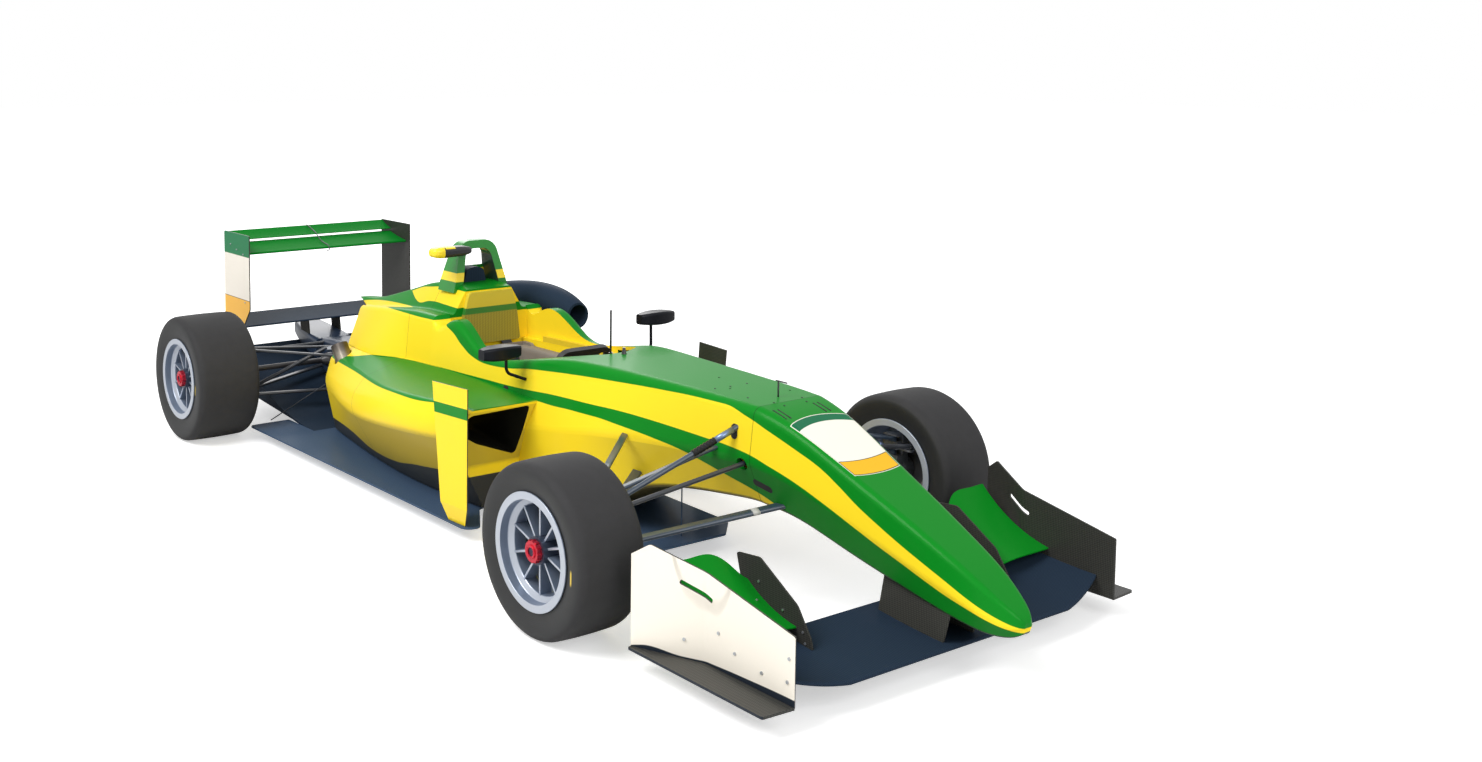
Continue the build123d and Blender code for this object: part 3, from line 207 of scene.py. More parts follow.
stripeLow = [
    (-1.30, 0.400), (-0.903, 0.417), (-0.549, 0.434), (-0.271, 0.455), (-0.082, 0.466), (0.10, 0.484),
    (0.211, 0.487), (0.324, 0.486), (0.444, 0.489), (0.561, 0.489), (0.674, 0.483), (0.879, 0.467),
    (0.972, 0.454), (1.051, 0.434), (1.15, 0.405), (1.25, 0.378), (1.34, 0.345), (1.42, 0.28), (1.50, 0.0),
]
fairingLow = [
    (-1.00, 0.715), (-0.90, 0.695), (-0.85, 0.690), (-0.75, 0.710), (-0.65, 0.717), (-0.45, 0.716),
]
fairingTop = [
    (-1.00, 0.715), (-0.90, 0.745), (-0.80, 0.762), (-0.70, 0.776), (-0.60, 0.783), (-0.45, 0.782),
]
podBase = [
    (-1.26, 0.12), (-0.951, 0.133), (-0.704, 0.109), (-0.463, 0.123), (-0.235, 0.165), (0.10, 0.20),
    (0.30, 0.20),
]
paintPlace = {
    "fairingFront": -0.44,
    "cockpitRear": -0.47,
    "cockpitFront": 0.38,
    "seams": (1.275, -0.70),
    "seamHalf": 0.0012,
}


def bodyPaint(name, extras=()):
    # lacquer that reads every colour edge from x and z, so that it runs on across the panels
    look, place = paintLook, paintPlace
    material, tree, shader = startMaterial(name, Roughness=look["roughness"], IOR=look["ior"],
                                           Coat_Weight=look["coat"], Coat_Roughness=look["coatRoughness"])
    vector, x, y, z = placeOf(tree)
    facing = facingOf(tree)

    band = product(tree, stepUnder(tree, x, place["fairingFront"]),
                   between(tree, z, edgeLine(tree, x, fairingLow), edgeLine(tree, x, fairingTop)))
    onTop = product(tree, stepOver(tree, z, edgeLine(tree, x, topEdge)), flip(tree, band))
    if "cockpit" in extras:
        # walls that face the centre plane inside the opening stay yellow
        inner = stepUnder(tree, outwardness(tree, y, facing), -0.45, 0.1)
        inside = product(tree, inner, between(tree, x, place["cockpitRear"], place["cockpitFront"]))
        onTop = product(tree, onTop, flip(tree, inside))
    stripe = between(tree, z, edgeLine(tree, x, stripeLow), edgeLine(tree, x, stripeTop))
    colour = mixColour(tree, larger(tree, onTop, stripe), hexColour(look["yellow"]), hexColour(look["green"]))

    if "numberPanel" in extras:
        colour = numberPanel(tree, colour, x, y, facing[2])
    if "duct" in extras:
        colour = paintedDuctShade(tree, colour, x, y, z, facing)
    if "podBase" in extras:
        low = stepUnder(tree, z, edgeLine(tree, x, podBase))
        colour = mixColour(tree, low, colour, hexColour(look["underside"]))
    # faces that look down darken towards the underside grey: painted shade, partly the darker underside of
    # the moulding
    below = addNode(tree, "MapRange", {"interpolation_type": "SMOOTHSTEP"}, Value=facing[2],
                    From_Min=look["undersideFrom"], From_Max=look["undersideTo"]).outputs[0]
    shade = product(tree, below, look["undersideShare"])
    colour = mixColour(tree, shade, colour, hexColour(look["underside"]))
    seam = larger(tree, *[nearLine(tree, x, along, place["seamHalf"]) for along in place["seams"]])
    colour = mixColour(tree, product(tree, seam, look["seamShare"]), colour, hexColour(look["seam"]))
    tree.links.new(colour, shader.inputs["Base Color"])
    orangePeel(tree, shader, vector)
    return material


ductPlace = {"inner": 0.30, "outer": 0.572, "low": 0.25, "high": 0.467, "rear": -0.19, "skinFrom": 0.42}


def paintedDuctShade(tree, colour, x, y, z, facing):
    # painted shade inside the cooling duct: a box of x, |y| and z without the pod's outer skin and its front
    # rim
    place = ductPlace
    side = addNode(tree, "Math", {"operation": "ABSOLUTE"}, i0=y).outputs[0]
    inside = product(tree, between(tree, side, place["inner"], place["outer"]),
                     between(tree, z, place["low"], place["high"]), stepOver(tree, x, place["rear"]))
    outward = stepOver(tree, outwardness(tree, y, facing), 0.2, 0.05)
    skin = product(tree, outward, stepOver(tree, side, place["skinFrom"]))
    mask = product(tree, inside, flip(tree, skin), stepUnder(tree, facing[0], 0.8, 0.05))
    return mixColour(tree, mask, colour, hexColour(paintLook["bareCloth"]))


panelLook = {"white": "#f4efe2", "band": "#0e6a44", "orange": "#f3b927", "line": "#1c3a20"}
panelPlace = {
    "front": 1.660, "back": 1.391, "halfFront": 0.100, "halfBack": 0.132,
    "line": 0.0035, "thinLine": 0.0025, "bandDepth": 0.034, "orangeDepth": 0.060,
    "backShift": 0.012, "backBow": 1.6, "frontBow": 0.9,
}


def numberPanel(tree, colour, x, y, upward):
    # blank panel on the nose's top: outline, dark band, bare field and orange foot; its ends bow by y squared
    place = panelPlace
    side = addNode(tree, "Math", {"operation": "ABSOLUTE"}, i0=y).outputs[0]
    half = addNode(tree, "MapRange", Value=x, From_Min=place["back"], From_Max=place["front"],
                   To_Min=place["halfBack"], To_Max=place["halfFront"]).outputs[0]
    gap = addNode(tree, "Math", {"operation": "SUBTRACT"}, i0=half, i1=side).outputs[0]
    backX = addNode(tree, "Math", {"operation": "SUBTRACT"}, i0=x,
                    i1=product(tree, side, side, place["backBow"])).outputs[0]
    frontX = addNode(tree, "Math", {"operation": "ADD"}, i0=x,
                     i1=product(tree, side, side, place["frontBow"])).outputs[0]

    def within(margin, backMargin=0.0):
        backEdge = place["back"] + margin + backMargin - place["backShift"]
        return product(tree, stepOver(tree, gap, margin), stepOver(tree, upward, 0.3, 0.05),
                       stepOver(tree, backX, backEdge), stepUnder(tree, frontX, place["front"] - margin))

    orangeBack = place["front"] - place["orangeDepth"]
    lineStart = stepOver(tree, frontX, orangeBack - place["thinLine"])
    layers = [
        ("white", within(0.0)),
        ("band", within(place["line"] * 0.8)),
        ("white", within(place["line"], place["bandDepth"])),
        ("line", product(tree, within(place["line"] * 0.6), lineStart)),
        ("orange", product(tree, within(place["line"] * 1.4), stepOver(tree, frontX, orangeBack))),
    ]
    for layer, mask in layers:
        colour = mixColour(tree, mask, colour, hexColour(panelLook[layer]))
    return colour


wingLook = {"green": "#0f7a26", "roughness": 0.5, "ior": 1.06}


def wingPaint(name):
    # one flat coat of lacquer
    material, tree, shader = startMaterial(name, Base_Color=hexColour(wingLook["green"]),
                                           Roughness=wingLook["roughness"], IOR=wingLook["ior"])
    orangePeel(tree, shader, placeOf(tree)[0])
    return material


# Carbon cloth: twill whose real tows are 2 to 3 mm wide, drawn wider so that they show

clothLook = {
    "period": 0.012,
    "openPeriod": 0.014,
    "towEdge": 0.35,
    "ior": 1.07,
    "coatRoughness": 0.12,
    "wear": 0.25,
    "wearScale": 5.0,
    "panelShades": ("#2b2b29", "#41413d"),
    "flapShades": ("#2f2f2d", "#454541"),
    # headrest twill: yellow dulled by painted shade over the twill's own tone
    "headrestShades": ("#8d8330", "#a39838"),
}


def twillWeave(tree, x, y, z, period):
    # 0 to 1: sin(2 pi (u + v) / p) sin(2 pi (u - v) / p), u = x + y / 2 and v = z + y / 2, in metres
    halfY = product(tree, y, 0.5)
    u = addNode(tree, "Math", {"operation": "ADD"}, i0=x, i1=halfY).outputs[0]
    v = addNode(tree, "Math", {"operation": "ADD"}, i0=z, i1=halfY).outputs[0]
    waves = []
    for operation in ("ADD", "SUBTRACT"):
        total = addNode(tree, "Math", {"operation": operation}, i0=u, i1=v).outputs[0]
        turn = product(tree, total, 2 * math.pi / period)
        waves.append(addNode(tree, "Math", {"operation": "SINE"}, i0=turn).outputs[0])
    return addNode(tree, "MapRange", {"interpolation_type": "SMOOTHSTEP"}, Value=product(tree, *waves),
                   From_Min=-clothLook["towEdge"], From_Max=clothLook["towEdge"]).outputs[0]


def clothColour(tree, weave, shades):
    return mixColour(tree, weave, hexColour(shades[0]), hexColour(shades[1]))


def carbonFibre(name, dark, light, roughness, period=0.009, coat=0.08):
    # lacquered cloth, cloudy where the lacquer has worn
    material, tree, shader = startMaterial(name, Roughness=roughness, IOR=clothLook["ior"], Coat_Weight=coat,
                                           Coat_Roughness=clothLook["coatRoughness"])
    vector, x, y, z = placeOf(tree)
    weave = twillWeave(tree, x, y, z, period)
    cloud = addNode(tree, "TexNoise", Vector=vector, Scale=clothLook["wearScale"], Detail=3.0).outputs["Fac"]
    colour = mixColour(tree, product(tree, cloud, clothLook["wear"]), clothColour(tree, weave, (dark, light)),
                       hexColour(light))
    tree.links.new(colour, shader.inputs["Base Color"])
    bumped(tree, shader, weave, 0.0002, 0.3)
    return material


def plainFinish(name, code, roughness, metallic=0.0, grain=400.0, spread=0.12, depth=0.0002, coat=0.0):
    # one finish: grain in cells a metre, 400 for 2.5 mm, under clouds 70 mm across that vary the tone
    material, tree, shader = startMaterial(name, Roughness=roughness, Metallic=metallic, Coat_Weight=coat)
    vector = placeOf(tree)[0]
    noise = addNode(tree, "TexNoise", Vector=vector, Scale=grain, Detail=3.0).outputs["Fac"]
    cloud = addNode(tree, "TexNoise", Vector=vector, Scale=14.0, Detail=2.0).outputs["Fac"]
    shade = addNode(tree, "MapRange", Value=cloud, To_Min=1 - spread, To_Max=1 + spread).outputs[0]
    tone = addNode(tree, "Mix", {"data_type": "RGBA", "blend_type": "MULTIPLY"},
                   i0=1.0, i6=hexColour(code), i7=shade)
    tree.links.new(tone.outputs[2], shader.inputs["Base Color"])
    bumped(tree, shader, noise, depth, 0.4)
    return material


# Plates: vanes and endplates

plateLook = {
    "roughness": 0.35,
    "specular": 0.25,
    "gutterNavy": "#1d2530",
    "cream": "#f7f0e2",
    "creaseDepth": 0.011,
    "creaseSoft": 0.028,
    "weaveShare": 0.02,
    # edges on the front endplate, in metres: x, z
    "gutter": [(1.30, 0.060), (1.409, 0.065), (1.463, 0.081), (1.501, 0.087), (1.595, 0.078), (1.80, 0.087),
               (1.997, 0.093), (2.02, 0.093)],
    "crease": [(1.43, 0.60), (1.54, 0.44), (1.555, 0.407), (1.581, 0.322), (1.605, 0.277), (1.685, 0.247),
               (1.72, 0.26), (1.80, 0.42), (2.02, 0.60)],
    # bands of height: low, high, colour
    "vaneBands": [(0.470, 0.511, paintLook["green"])],
    "rearBase": "#f9bd4a",
    "rearBands": [(0.785, 0.90, "#1f7a4c"), (0.573, 0.785, "#f6efe2"), (0.5705, 0.573, "#2a2a28")],
}


def sidedPanel(name, bands, base, gutter=None, crease=None):
    # lacquer in bands on the side away from the centre plane, bare twill on the other side and the edges
    material, tree, shader = startMaterial(name, Roughness=plateLook["roughness"],
                                           Specular_IOR_Level=plateLook["specular"])
    vector, x, y, z = placeOf(tree)
    outward = stepOver(tree, outwardness(tree, y, facingOf(tree)), 0.5, 0.1)
    colour = addNode(tree, "RGB").outputs[0]
    colour.default_value = hexColour(base)
    for low, high, code in bands:
        colour = mixColour(tree, between(tree, z, low, high, 0.0006), colour, hexColour(code))
    if gutter:
        low = stepUnder(tree, z, edgeLine(tree, x, gutter), 0.001)
        colour = mixColour(tree, low, colour, hexColour(plateLook["gutterNavy"]))
    weave = twillWeave(tree, x, y, z, clothLook["period"])
    cloth = clothColour(tree, weave, clothLook["panelShades"])
    tree.links.new(mixColour(tree, outward, cloth, colour), shader.inputs["Base Color"])
    height = product(tree, weave, flip(tree, outward), plateLook["weaveShare"])
    strength = 0.3
    if crease:
        # a swelling above and behind the crease, as deep as creaseDepth
        swell = stepOver(tree, z, edgeLine(tree, x, crease), plateLook["creaseSoft"])
        height = addNode(tree, "Math", {"operation": "ADD"}, i0=height,
                         i1=product(tree, swell, outward)).outputs[0]
        strength = 0.9
    bumped(tree, shader, height, plateLook["creaseDepth"], strength)
    return material


# Wheels, in metres: axle (x, z), the tyre's centre plane, half width, crown and bead, the rim's lip beyond
# that plane, and the painted dash (x, z)

wheelPlaces = {
    "front": {"axle": (1.1, 0.275), "centre": 0.7975, "half": 0.1225, "crown": 0.275, "bead": 0.1125,
              "lip": 0.119, "dash": (1.311, 0.256)},
    "rear": {"axle": (-1.7, 0.287), "centre": 0.77, "half": 0.145, "crown": 0.287, "bead": 0.135,
             "lip": 0.1415, "dash": (-1.509, 0.2675)},
}
rubberLook = {
    "tread": "#1f1f20", "wall": "#18191a", "scrub": "#2c2b2d", "mark": "#e3c23c",
    "treadRoughness": 0.8, "wallRoughness": 0.55,
    "wallRing": 0.005, "treadRing": 0.004,
    "dashHalfWidth": 0.0045, "dashHalfHeight": 0.021,
}


def radiusFrom(tree, x, z, axle):
    # sqrt((x - axleX)^2 + (z - axleZ)^2)
    parts = []
    for value, centre in zip((x, z), axle):
        gap = addNode(tree, "Math", {"operation": "SUBTRACT"}, i0=value, i1=centre).outputs[0]
        parts.append(product(tree, gap, gap))
    total = addNode(tree, "Math", {"operation": "ADD"}, i0=parts[0], i1=parts[1]).outputs[0]
    return addNode(tree, "Math", {"operation": "SQRT"}, i0=total).outputs[0]


def tyreRubber(name, wheel):
    # scrubbed tread, darker ringed sidewalls and one painted dash on the outer wall
    look = rubberLook
    material, tree, shader = startMaterial(name)
    vector, x, y, z = placeOf(tree)
    radius = radiusFrom(tree, x, z, wheel["axle"])
    side = addNode(tree, "Math", {"operation": "ABSOLUTE"}, i0=y).outputs[0]
    outer = addNode(tree, "Math", {"operation": "SUBTRACT"}, i0=side, i1=wheel["centre"]).outputs[0]
    tread = stepOver(tree, radius, wheel["crown"] - 0.02, 0.008)
    cloud = addNode(tree, "TexNoise", Vector=vector, Scale=26.0, Detail=4.0).outputs["Fac"]
    colour = mixColour(tree, tread, hexColour(look["wall"]), hexColour(look["tread"]))
    colour = mixColour(tree, product(tree, tread, cloud, 0.7), colour, hexColour(look["scrub"]))
    dash = product(tree, nearLine(tree, x, wheel["dash"][0], look["dashHalfWidth"]),
                   nearLine(tree, z, wheel["dash"][1], look["dashHalfHeight"]), stepOver(tree, outer, 0.05))
    colour = mixColour(tree, dash, colour, hexColour(look["mark"]))
    tree.links.new(colour, shader.inputs["Base Color"])
    rough = addNode(tree, "MapRange", Value=tread, To_Min=look["wallRoughness"],
                    To_Max=look["treadRoughness"])
    tree.links.new(rough.outputs[0], shader.inputs["Roughness"])
    # fine turned rings: sin(2 pi radius / wallRing) on the walls, sin(2 pi y / treadRing) across the tread
    rings = []
    for value, step in ((radius, look["wallRing"]), (y, look["treadRing"])):
        turn = product(tree, value, 2 * math.pi / step)
        rings.append(addNode(tree, "Math", {"operation": "SINE"}, i0=turn).outputs[0])
    mixed = addNode(tree, "Mix", {"data_type": "FLOAT"}, i0=tread, i2=rings[0], i3=rings[1]).outputs[0]
    bumped(tree, shader, mixed, 0.0002, 0.25)
    return material


rimLook = {
    # the second colour is the blue-grey of faces square to the axle: a painted sky reflection
    "face": "#b6bcc6", "flank": "#8592a6", "disc": "#4b4a4c", "swept": "#85827f", "hub": "#333a4c",
    "nut": "#c2283a", "core": "#2a2038",
    "discRadius": 0.1275, "sweptRadius": 0.088, "hubRadius": 0.0445, "nutRadius": 0.0335,
    "coreRadius": 0.0165,
    "discDepth": 0.09, "nutDepth": 0.028,
}


def wheelMetal(name, wheel):
    # cast wheel: bright lip, a painted blue sky reflection on the barrel and the spokes' side faces, dark
    # disc, red nut with a dark centre; a 1 mm grain
    look = rimLook
    material, tree, shader = startMaterial(name, Metallic=0.45, Roughness=0.32)
    vector, x, y, z = placeOf(tree)
    radius = radiusFrom(tree, x, z, wheel["axle"])
    side = addNode(tree, "Math", {"operation": "ABSOLUTE"}, i0=y).outputs[0]
    depth = addNode(tree, "Math", {"operation": "SUBTRACT"}, i0=wheel["centre"] + wheel["lip"],
                    i1=side).outputs[0]
    # faces square to the axle take a blue-grey: painted reflection of the sky
    across = addNode(tree, "Math", {"operation": "ABSOLUTE"}, i0=facingOf(tree)[1]).outputs[0]
    flank = stepUnder(tree, across, 0.5, 0.2)
    colour = mixColour(tree, flank, hexColour(look["face"]), hexColour(look["flank"]))
    disc = product(tree, stepUnder(tree, radius, look["discRadius"]),
                   stepOver(tree, depth, look["discDepth"]))
    shallow = stepUnder(tree, depth, look["nutDepth"])
    zones = {
        "disc": disc,
        "swept": product(tree, disc, stepOver(tree, radius, look["sweptRadius"])),
        "hub": product(tree, stepUnder(tree, radius, look["hubRadius"]), flip(tree, disc)),
        "nut": product(tree, stepUnder(tree, radius, look["nutRadius"]), shallow),
        "core": product(tree, stepUnder(tree, radius, look["coreRadius"]), shallow),
    }
    for zone, mask in zones.items():
        colour = mixColour(tree, mask, colour, hexColour(look[zone]))
    tree.links.new(colour, shader.inputs["Base Color"])
    noise = addNode(tree, "TexNoise", Vector=vector, Scale=900.0, Detail=2.0).outputs["Fac"]
    bumped(tree, shader, noise, 0.00015, 0.3)
    return material


# Finishes of single pieces; heights and places in metres

pipeLook = {
    "bright": "#a19a8c", "browned": "#5b5550", "soot": "#3d342c",
    "brownFrom": 0.425, "brownTo": 0.475,
}


def exhaustTint(name):
    # bright pipe that darkens and browns towards its mouth: height sets the tint
    material, tree, shader = startMaterial(name, Metallic=0.75, Roughness=0.34)
    vector, x, y, z = placeOf(tree)
    heat = addNode(tree, "MapRange", {"interpolation_type": "SMOOTHSTEP"}, Value=z,
                   From_Min=pipeLook["brownFrom"], From_Max=pipeLook["brownTo"])
    cloud = addNode(tree, "TexNoise", Vector=vector, Scale=60.0, Detail=4.0).outputs["Fac"]
    colour = mixColour(tree, heat.outputs[0], hexColour(pipeLook["bright"]), hexColour(pipeLook["browned"]))
    colour = mixColour(tree, product(tree, cloud, 0.5), colour, hexColour(pipeLook["soot"]))
    tree.links.new(colour, shader.inputs["Base Color"])
    bumped(tree, shader, cloud, 0.0004, 0.3)
    return material


hoopLook = {"bandLow": 0.815, "bandHigh": 0.852, "gapFrom": 0.80, "gap": "#2a3b33"}


def hoopPaint(name):
    # green hoop with a yellow band, and dark where its faces look at the centre plane
    material, tree, shader = startMaterial(name, Roughness=0.3, Coat_Weight=0.3)
    vector, x, y, z = placeOf(tree)
    band = between(tree, z, hoopLook["bandLow"], hoopLook["bandHigh"])
    colour = mixColour(tree, band, hexColour(paintLook["green"]), hexColour(paintLook["yellow"]))
    inward = stepUnder(tree, outwardness(tree, y, facingOf(tree)), -0.4, 0.1)
    colour = mixColour(tree, product(tree, inward, stepOver(tree, z, hoopLook["gapFrom"])), colour,
                       hexColour(hoopLook["gap"]))
    tree.links.new(colour, shader.inputs["Base Color"])
    orangePeel(tree, shader, vector)
    return material


# bands of the headrest above its open twill: the height where each starts and its colour; the yellow is
# dulled by painted shade on the forward face
headrestBands = [(0.688, "#2f7a2d"), (0.714, "#d9c437"), (0.782, paintLook["green"])]


def headrestPaint(name):
    # lacquer over open twill: a green band and a green crown on yellow, the lower field showing its weave;
    # the yellow and the twill are dulled by painted shade on the forward face, over the twill's own darker
    # tone
    material, tree, shader = startMaterial(name, Roughness=0.4)
    vector, x, y, z = placeOf(tree)
    weave = twillWeave(tree, x, y, z, clothLook["openPeriod"])
    colour = clothColour(tree, weave, clothLook["headrestShades"])
    for height, code in headrestBands:
        colour = mixColour(tree, stepOver(tree, z, height), colour, hexColour(code))
    tree.links.new(colour, shader.inputs["Base Color"])
    bumped(tree, shader, weave, 0.0002, 0.3)
    return material


flapLook = {"plateEdge": 0.4434, "roughness": 0.38, "ior": 1.15}


def flapPaint(name):
    # green lacquer on the flap, bare twill on the upright plate at its inner end
    material, tree, shader = startMaterial(name, Roughness=flapLook["roughness"], IOR=flapLook["ior"])
    vector, x, y, z = placeOf(tree)
    side = addNode(tree, "Math", {"operation": "ABSOLUTE"}, i0=y).outputs[0]
    cloth = clothColour(tree, twillWeave(tree, x, y, z, clothLook["period"]), clothLook["flapShades"])
    flap = stepOver(tree, side, flapLook["plateEdge"], 0.0003)
    tree.links.new(mixColour(tree, flap, cloth, hexColour(paintLook["green"])), shader.inputs["Base Color"])
    orangePeel(tree, shader, vector)
    return material


podLook = {"dark": "#26272a", "capEdge": -0.203, "topEdge": -0.150, "line": -0.2015, "lineHalf": 0.0025}


def podCap(name):
    # yellow cap on the camera pod's right end that runs on over its top, dark gelcoat elsewhere
    material, tree, shader = startMaterial(name, Roughness=0.3)
    vector, x, y, z = placeOf(tree)
    dark = hexColour(podLook["dark"])
    top = product(tree, stepOver(tree, facingOf(tree)[2], 0.6, 0.1), stepUnder(tree, y, podLook["topEdge"]))
    cap = larger(tree, stepUnder(tree, y, podLook["capEdge"]), top)
    colour = mixColour(tree, cap, dark, hexColour(paintLook["yellow"]))
    colour = mixColour(tree, nearLine(tree, y, podLook["line"], podLook["lineHalf"]), colour, dark)
    tree.links.new(colour, shader.inputs["Base Color"])
    orangePeel(tree, shader, vector)
    return material


mirrorLook = {
    "shell": "#14161d", "glass": "#dfe4e8",
    "shellRoughness": 0.3, "glassRoughness": 0.04, "ior": 1.25,
}


def mirrorShell(name):
    # black gloss shell with clear-silvered glass on its rear face
    material, tree, shader = startMaterial(name, IOR=mirrorLook["ior"])
    vector, x, y, z = placeOf(tree)
    glass = product(tree, stepUnder(tree, facingOf(tree)[0], -0.92, 0.03), stepOver(tree, z, 0.6))
    colour = mixColour(tree, glass, hexColour(mirrorLook["shell"]), hexColour(mirrorLook["glass"]))
    rough = addNode(tree, "MapRange", Value=glass, To_Min=mirrorLook["shellRoughness"],
                    To_Max=mirrorLook["glassRoughness"])
    tree.links.new(colour, shader.inputs["Base Color"])
    tree.links.new(glass, shader.inputs["Metallic"])
    tree.links.new(rough.outputs[0], shader.inputs["Roughness"])
    return material


print("materials: functions ready")

finishes = {
    # polyurethane lacquer: full colour with a soft, slightly rippled shine
    "bodyLacquer": bodyPaint("sprayedBodyLacquer"),
    "noseLacquer": bodyPaint("sprayedNoseLacquer", ("numberPanel",)),
    "tubLacquer": bodyPaint("sprayedTubLacquer", ("cockpit",)),
    "podLacquer": bodyPaint("sprayedPodLacquer", ("podBase", "duct")),
    "hoopLacquer": hoopPaint("sprayedHoopLacquer"),
    "headrestLacquer": headrestPaint("lacqueredHeadrestTwill"),
    "cameraLacquer": podCap("cameraPodLacquer"),
    "flapGreen": flapPaint("sprayedFlapGreen"),
    "wingGreen": wingPaint("sprayedWingGreen"),
    # thin carbon plates, sprayed on the outside only: flat colour outside, dull weave inside
    "vaneLacquer": sidedPanel("vaneLacquer", plateLook["vaneBands"], paintLook["yellow"]),
    "endplateCream": sidedPanel("creamEndplateLacquer", [], plateLook["cream"], plateLook["gutter"],
                                plateLook["crease"]),
    "rearPlate": sidedPanel("bandedEndplateLacquer", plateLook["rearBands"], plateLook["rearBase"]),
    # lacquered carbon fibre: dark cloth whose tows catch the light in turn
    "navyCarbon": carbonFibre("lacqueredNavyCarbon", "#212c3a", "#2b394a", 0.42, coat=0.02),
    "floorCarbon": carbonFibre("lacqueredFloorCarbon", "#3d4f66", "#485c76", 0.3),
    "bareCarbon": carbonFibre("satinTwillCarbon", "#343431", "#4a4a45", 0.5, clothLook["period"]),
    # gelcoat out of a polished mould: sharp shine on black
    "blackGloss": plainFinish("blackGelcoat", "#1b1c1f", 0.22, coat=0.5),
    "mirrorGloss": mirrorShell("mirrorShellAndGlass"),
    # vulcanised rubber: near black, dull where it has scrubbed on the road
    "frontRubber": tyreRubber("frontSlickRubber", wheelPlaces["front"]),
    "rearRubber": tyreRubber("rearSlickRubber", wheelPlaces["rear"]),
    # cast and painted magnesium: pale, half metallic
    "frontWheel": wheelMetal("frontCastMagnesium", wheelPlaces["front"]),
    "rearWheel": wheelMetal("rearCastMagnesium", wheelPlaces["rear"]),
    # machined aluminium: grey metal with a blurred shine
    "uprightMetal": plainFinish("machinedAluminium", "#7d8087", 0.35, 0.85),
    # epoxy powder coat on steel tube: dark and even, with a soft highlight
    "armSteel": plainFinish("blackEpoxySteelTube", "#2d3036", 0.38, coat=0.25),
    "wishboneNavy": plainFinish("navyEpoxySteelTube", "#33404f", 0.34, coat=0.3),
    # stainless steel browned by heat
    "exhaustSteel": exhaustTint("heatTintedSteel"),
    # castings: painted magnesium and bare aluminium, dull with a fine grain
    "castCasing": plainFinish("paintedMagnesiumCasing", "#25344a", 0.38, 0.1, coat=0.3),
    "engineCasting": plainFinish("castAluminiumBlock", "#5a5f66", 0.5, 0.5),
    # soft and moulded parts: no metal, broad weak shine
    "vinylFoam": plainFinish("vinylCoveredFoam", "#857d74", 0.65),
    "seatShell": plainFinish("mouldedSeatShell", "#857d74", 0.6),
    "yellowVinyl": plainFinish("yellowVinylOverFoam", "#e6c829", 0.55, spread=0.04),
    "webbing": plainFinish("wovenHarnessWebbing", "#20242c", 0.8, grain=900.0, depth=0.0004),
    "gripPlastic": plainFinish("mouldedGripPlastic", "#232325", 0.5),
    # small metal parts: zinc plate, black oxide and anodised aluminium
    "zincBolt": plainFinish("zincPlatedBolt", "#b9bcc0", 0.3, 0.8),
    "blackBolt": plainFinish("blackOxideBolt", "#1c1c1e", 0.4, 0.6),
    "anodisedBlue": plainFinish("anodisedSleeve", "#7486a6", 0.3, 0.7),
    "redAnodised": plainFinish("anodisedWheelNut", "#c4293c", 0.25, 0.6),
    # matt polymers: shrunk sleeve, and black patches that stand for painted shade inside slots and entries,
    # and for buttons
    "paleBand": plainFinish("heatShrinkBand", "#b9b8b2", 0.6),
    "slotShadow": plainFinish("blackEdgeTrim", "#101112", 0.7),
}

nodeFinish = {
    "nose_cone": "noseLacquer", "monocoque": "tubLacquer", "headrest": "headrestLacquer",
    "dashboard": "gripPlastic", "roll_hoop": "hoopLacquer", "camera_pod": "cameraLacquer",
    "engine_cover": "bodyLacquer", "sidepod_right": "podLacquer", "sidepod_left": "podLacquer",
    "air_box": "navyCarbon", "exhaust_pipe": "exhaustSteel", "floor": "floorCarbon",
    "diffuser": "navyCarbon", "sidepod_vanes": "vaneLacquer", "front_wing_main": "navyCarbon",
    "front_wing_flaps": "flapGreen", "front_endplates": "endplateCream", "nose_pylons": "bareCarbon",
    "rear_wing_main": "wingGreen", "rear_wing_flap": "wingGreen", "rear_endplates": "rearPlate",
    "beam_wing": "navyCarbon", "wing_pylons": "bareCarbon", "engine": "engineCasting",
    "gearbox": "castCasing", "mirrors": "mirrorGloss", "aerials": "blackGloss", "seat": "seatShell",
    "cockpit_padding": "yellowVinyl", "steering_wheel": "gripPlastic", "front_suspension": "wishboneNavy",
    "rear_suspension": "armSteel", "rear_uprights": "uprightMetal", "front_upright_right": "uprightMetal",
    "front_upright_left": "uprightMetal", "steering_rack": "armSteel",
}
for name, node in nodes.items():
    finish = nodeFinish.get(name)
    if finish is None:
        # tyres and rims: front_tyre_right takes frontRubber, and so on
        finish = name.split("_")[0] + ("Rubber" if "tyre" in name else "Wheel")
    node.data.materials.clear()
    node.data.materials.append(finishes[finish])
print("finishes on the nodes")


# Mesh helpers for the added pieces: a shape is its points and its faces

def addPiece(name, shape, finish, body, smooth=True):
    # one mesh at the origin, in metres, that rides on a body
    points, faces = shape
    mesh = bpy.data.meshes.new(name)
    mesh.from_pydata(np.asarray(points).tolist(), [], [list(face) for face in faces])
    mesh.polygons.foreach_set("use_smooth", [smooth] * len(mesh.polygons))
    mesh.materials.append(finishes[finish])
    mesh.update()
    piece = bpy.data.objects.new(name, mesh)
    bpy.context.scene.collection.objects.link(piece)
    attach(piece, body)
    return piece


def gridFaces(rows, columns, wrapRows=False, wrapColumns=False):
    # quads of a rows by columns lattice of points
    i = np.arange(rows if wrapRows else rows - 1)[:, None]
    j = np.arange(columns if wrapColumns else columns - 1)[None, :]
    nextI, nextJ = (i + 1) % rows, (j + 1) % columns
    quads = [i * columns + j, i * columns + nextJ, nextI * columns + nextJ, nextI * columns + j]
    return np.stack([np.broadcast_to(q, (i.size, j.size)) for q in quads], -1).reshape(-1, 4)


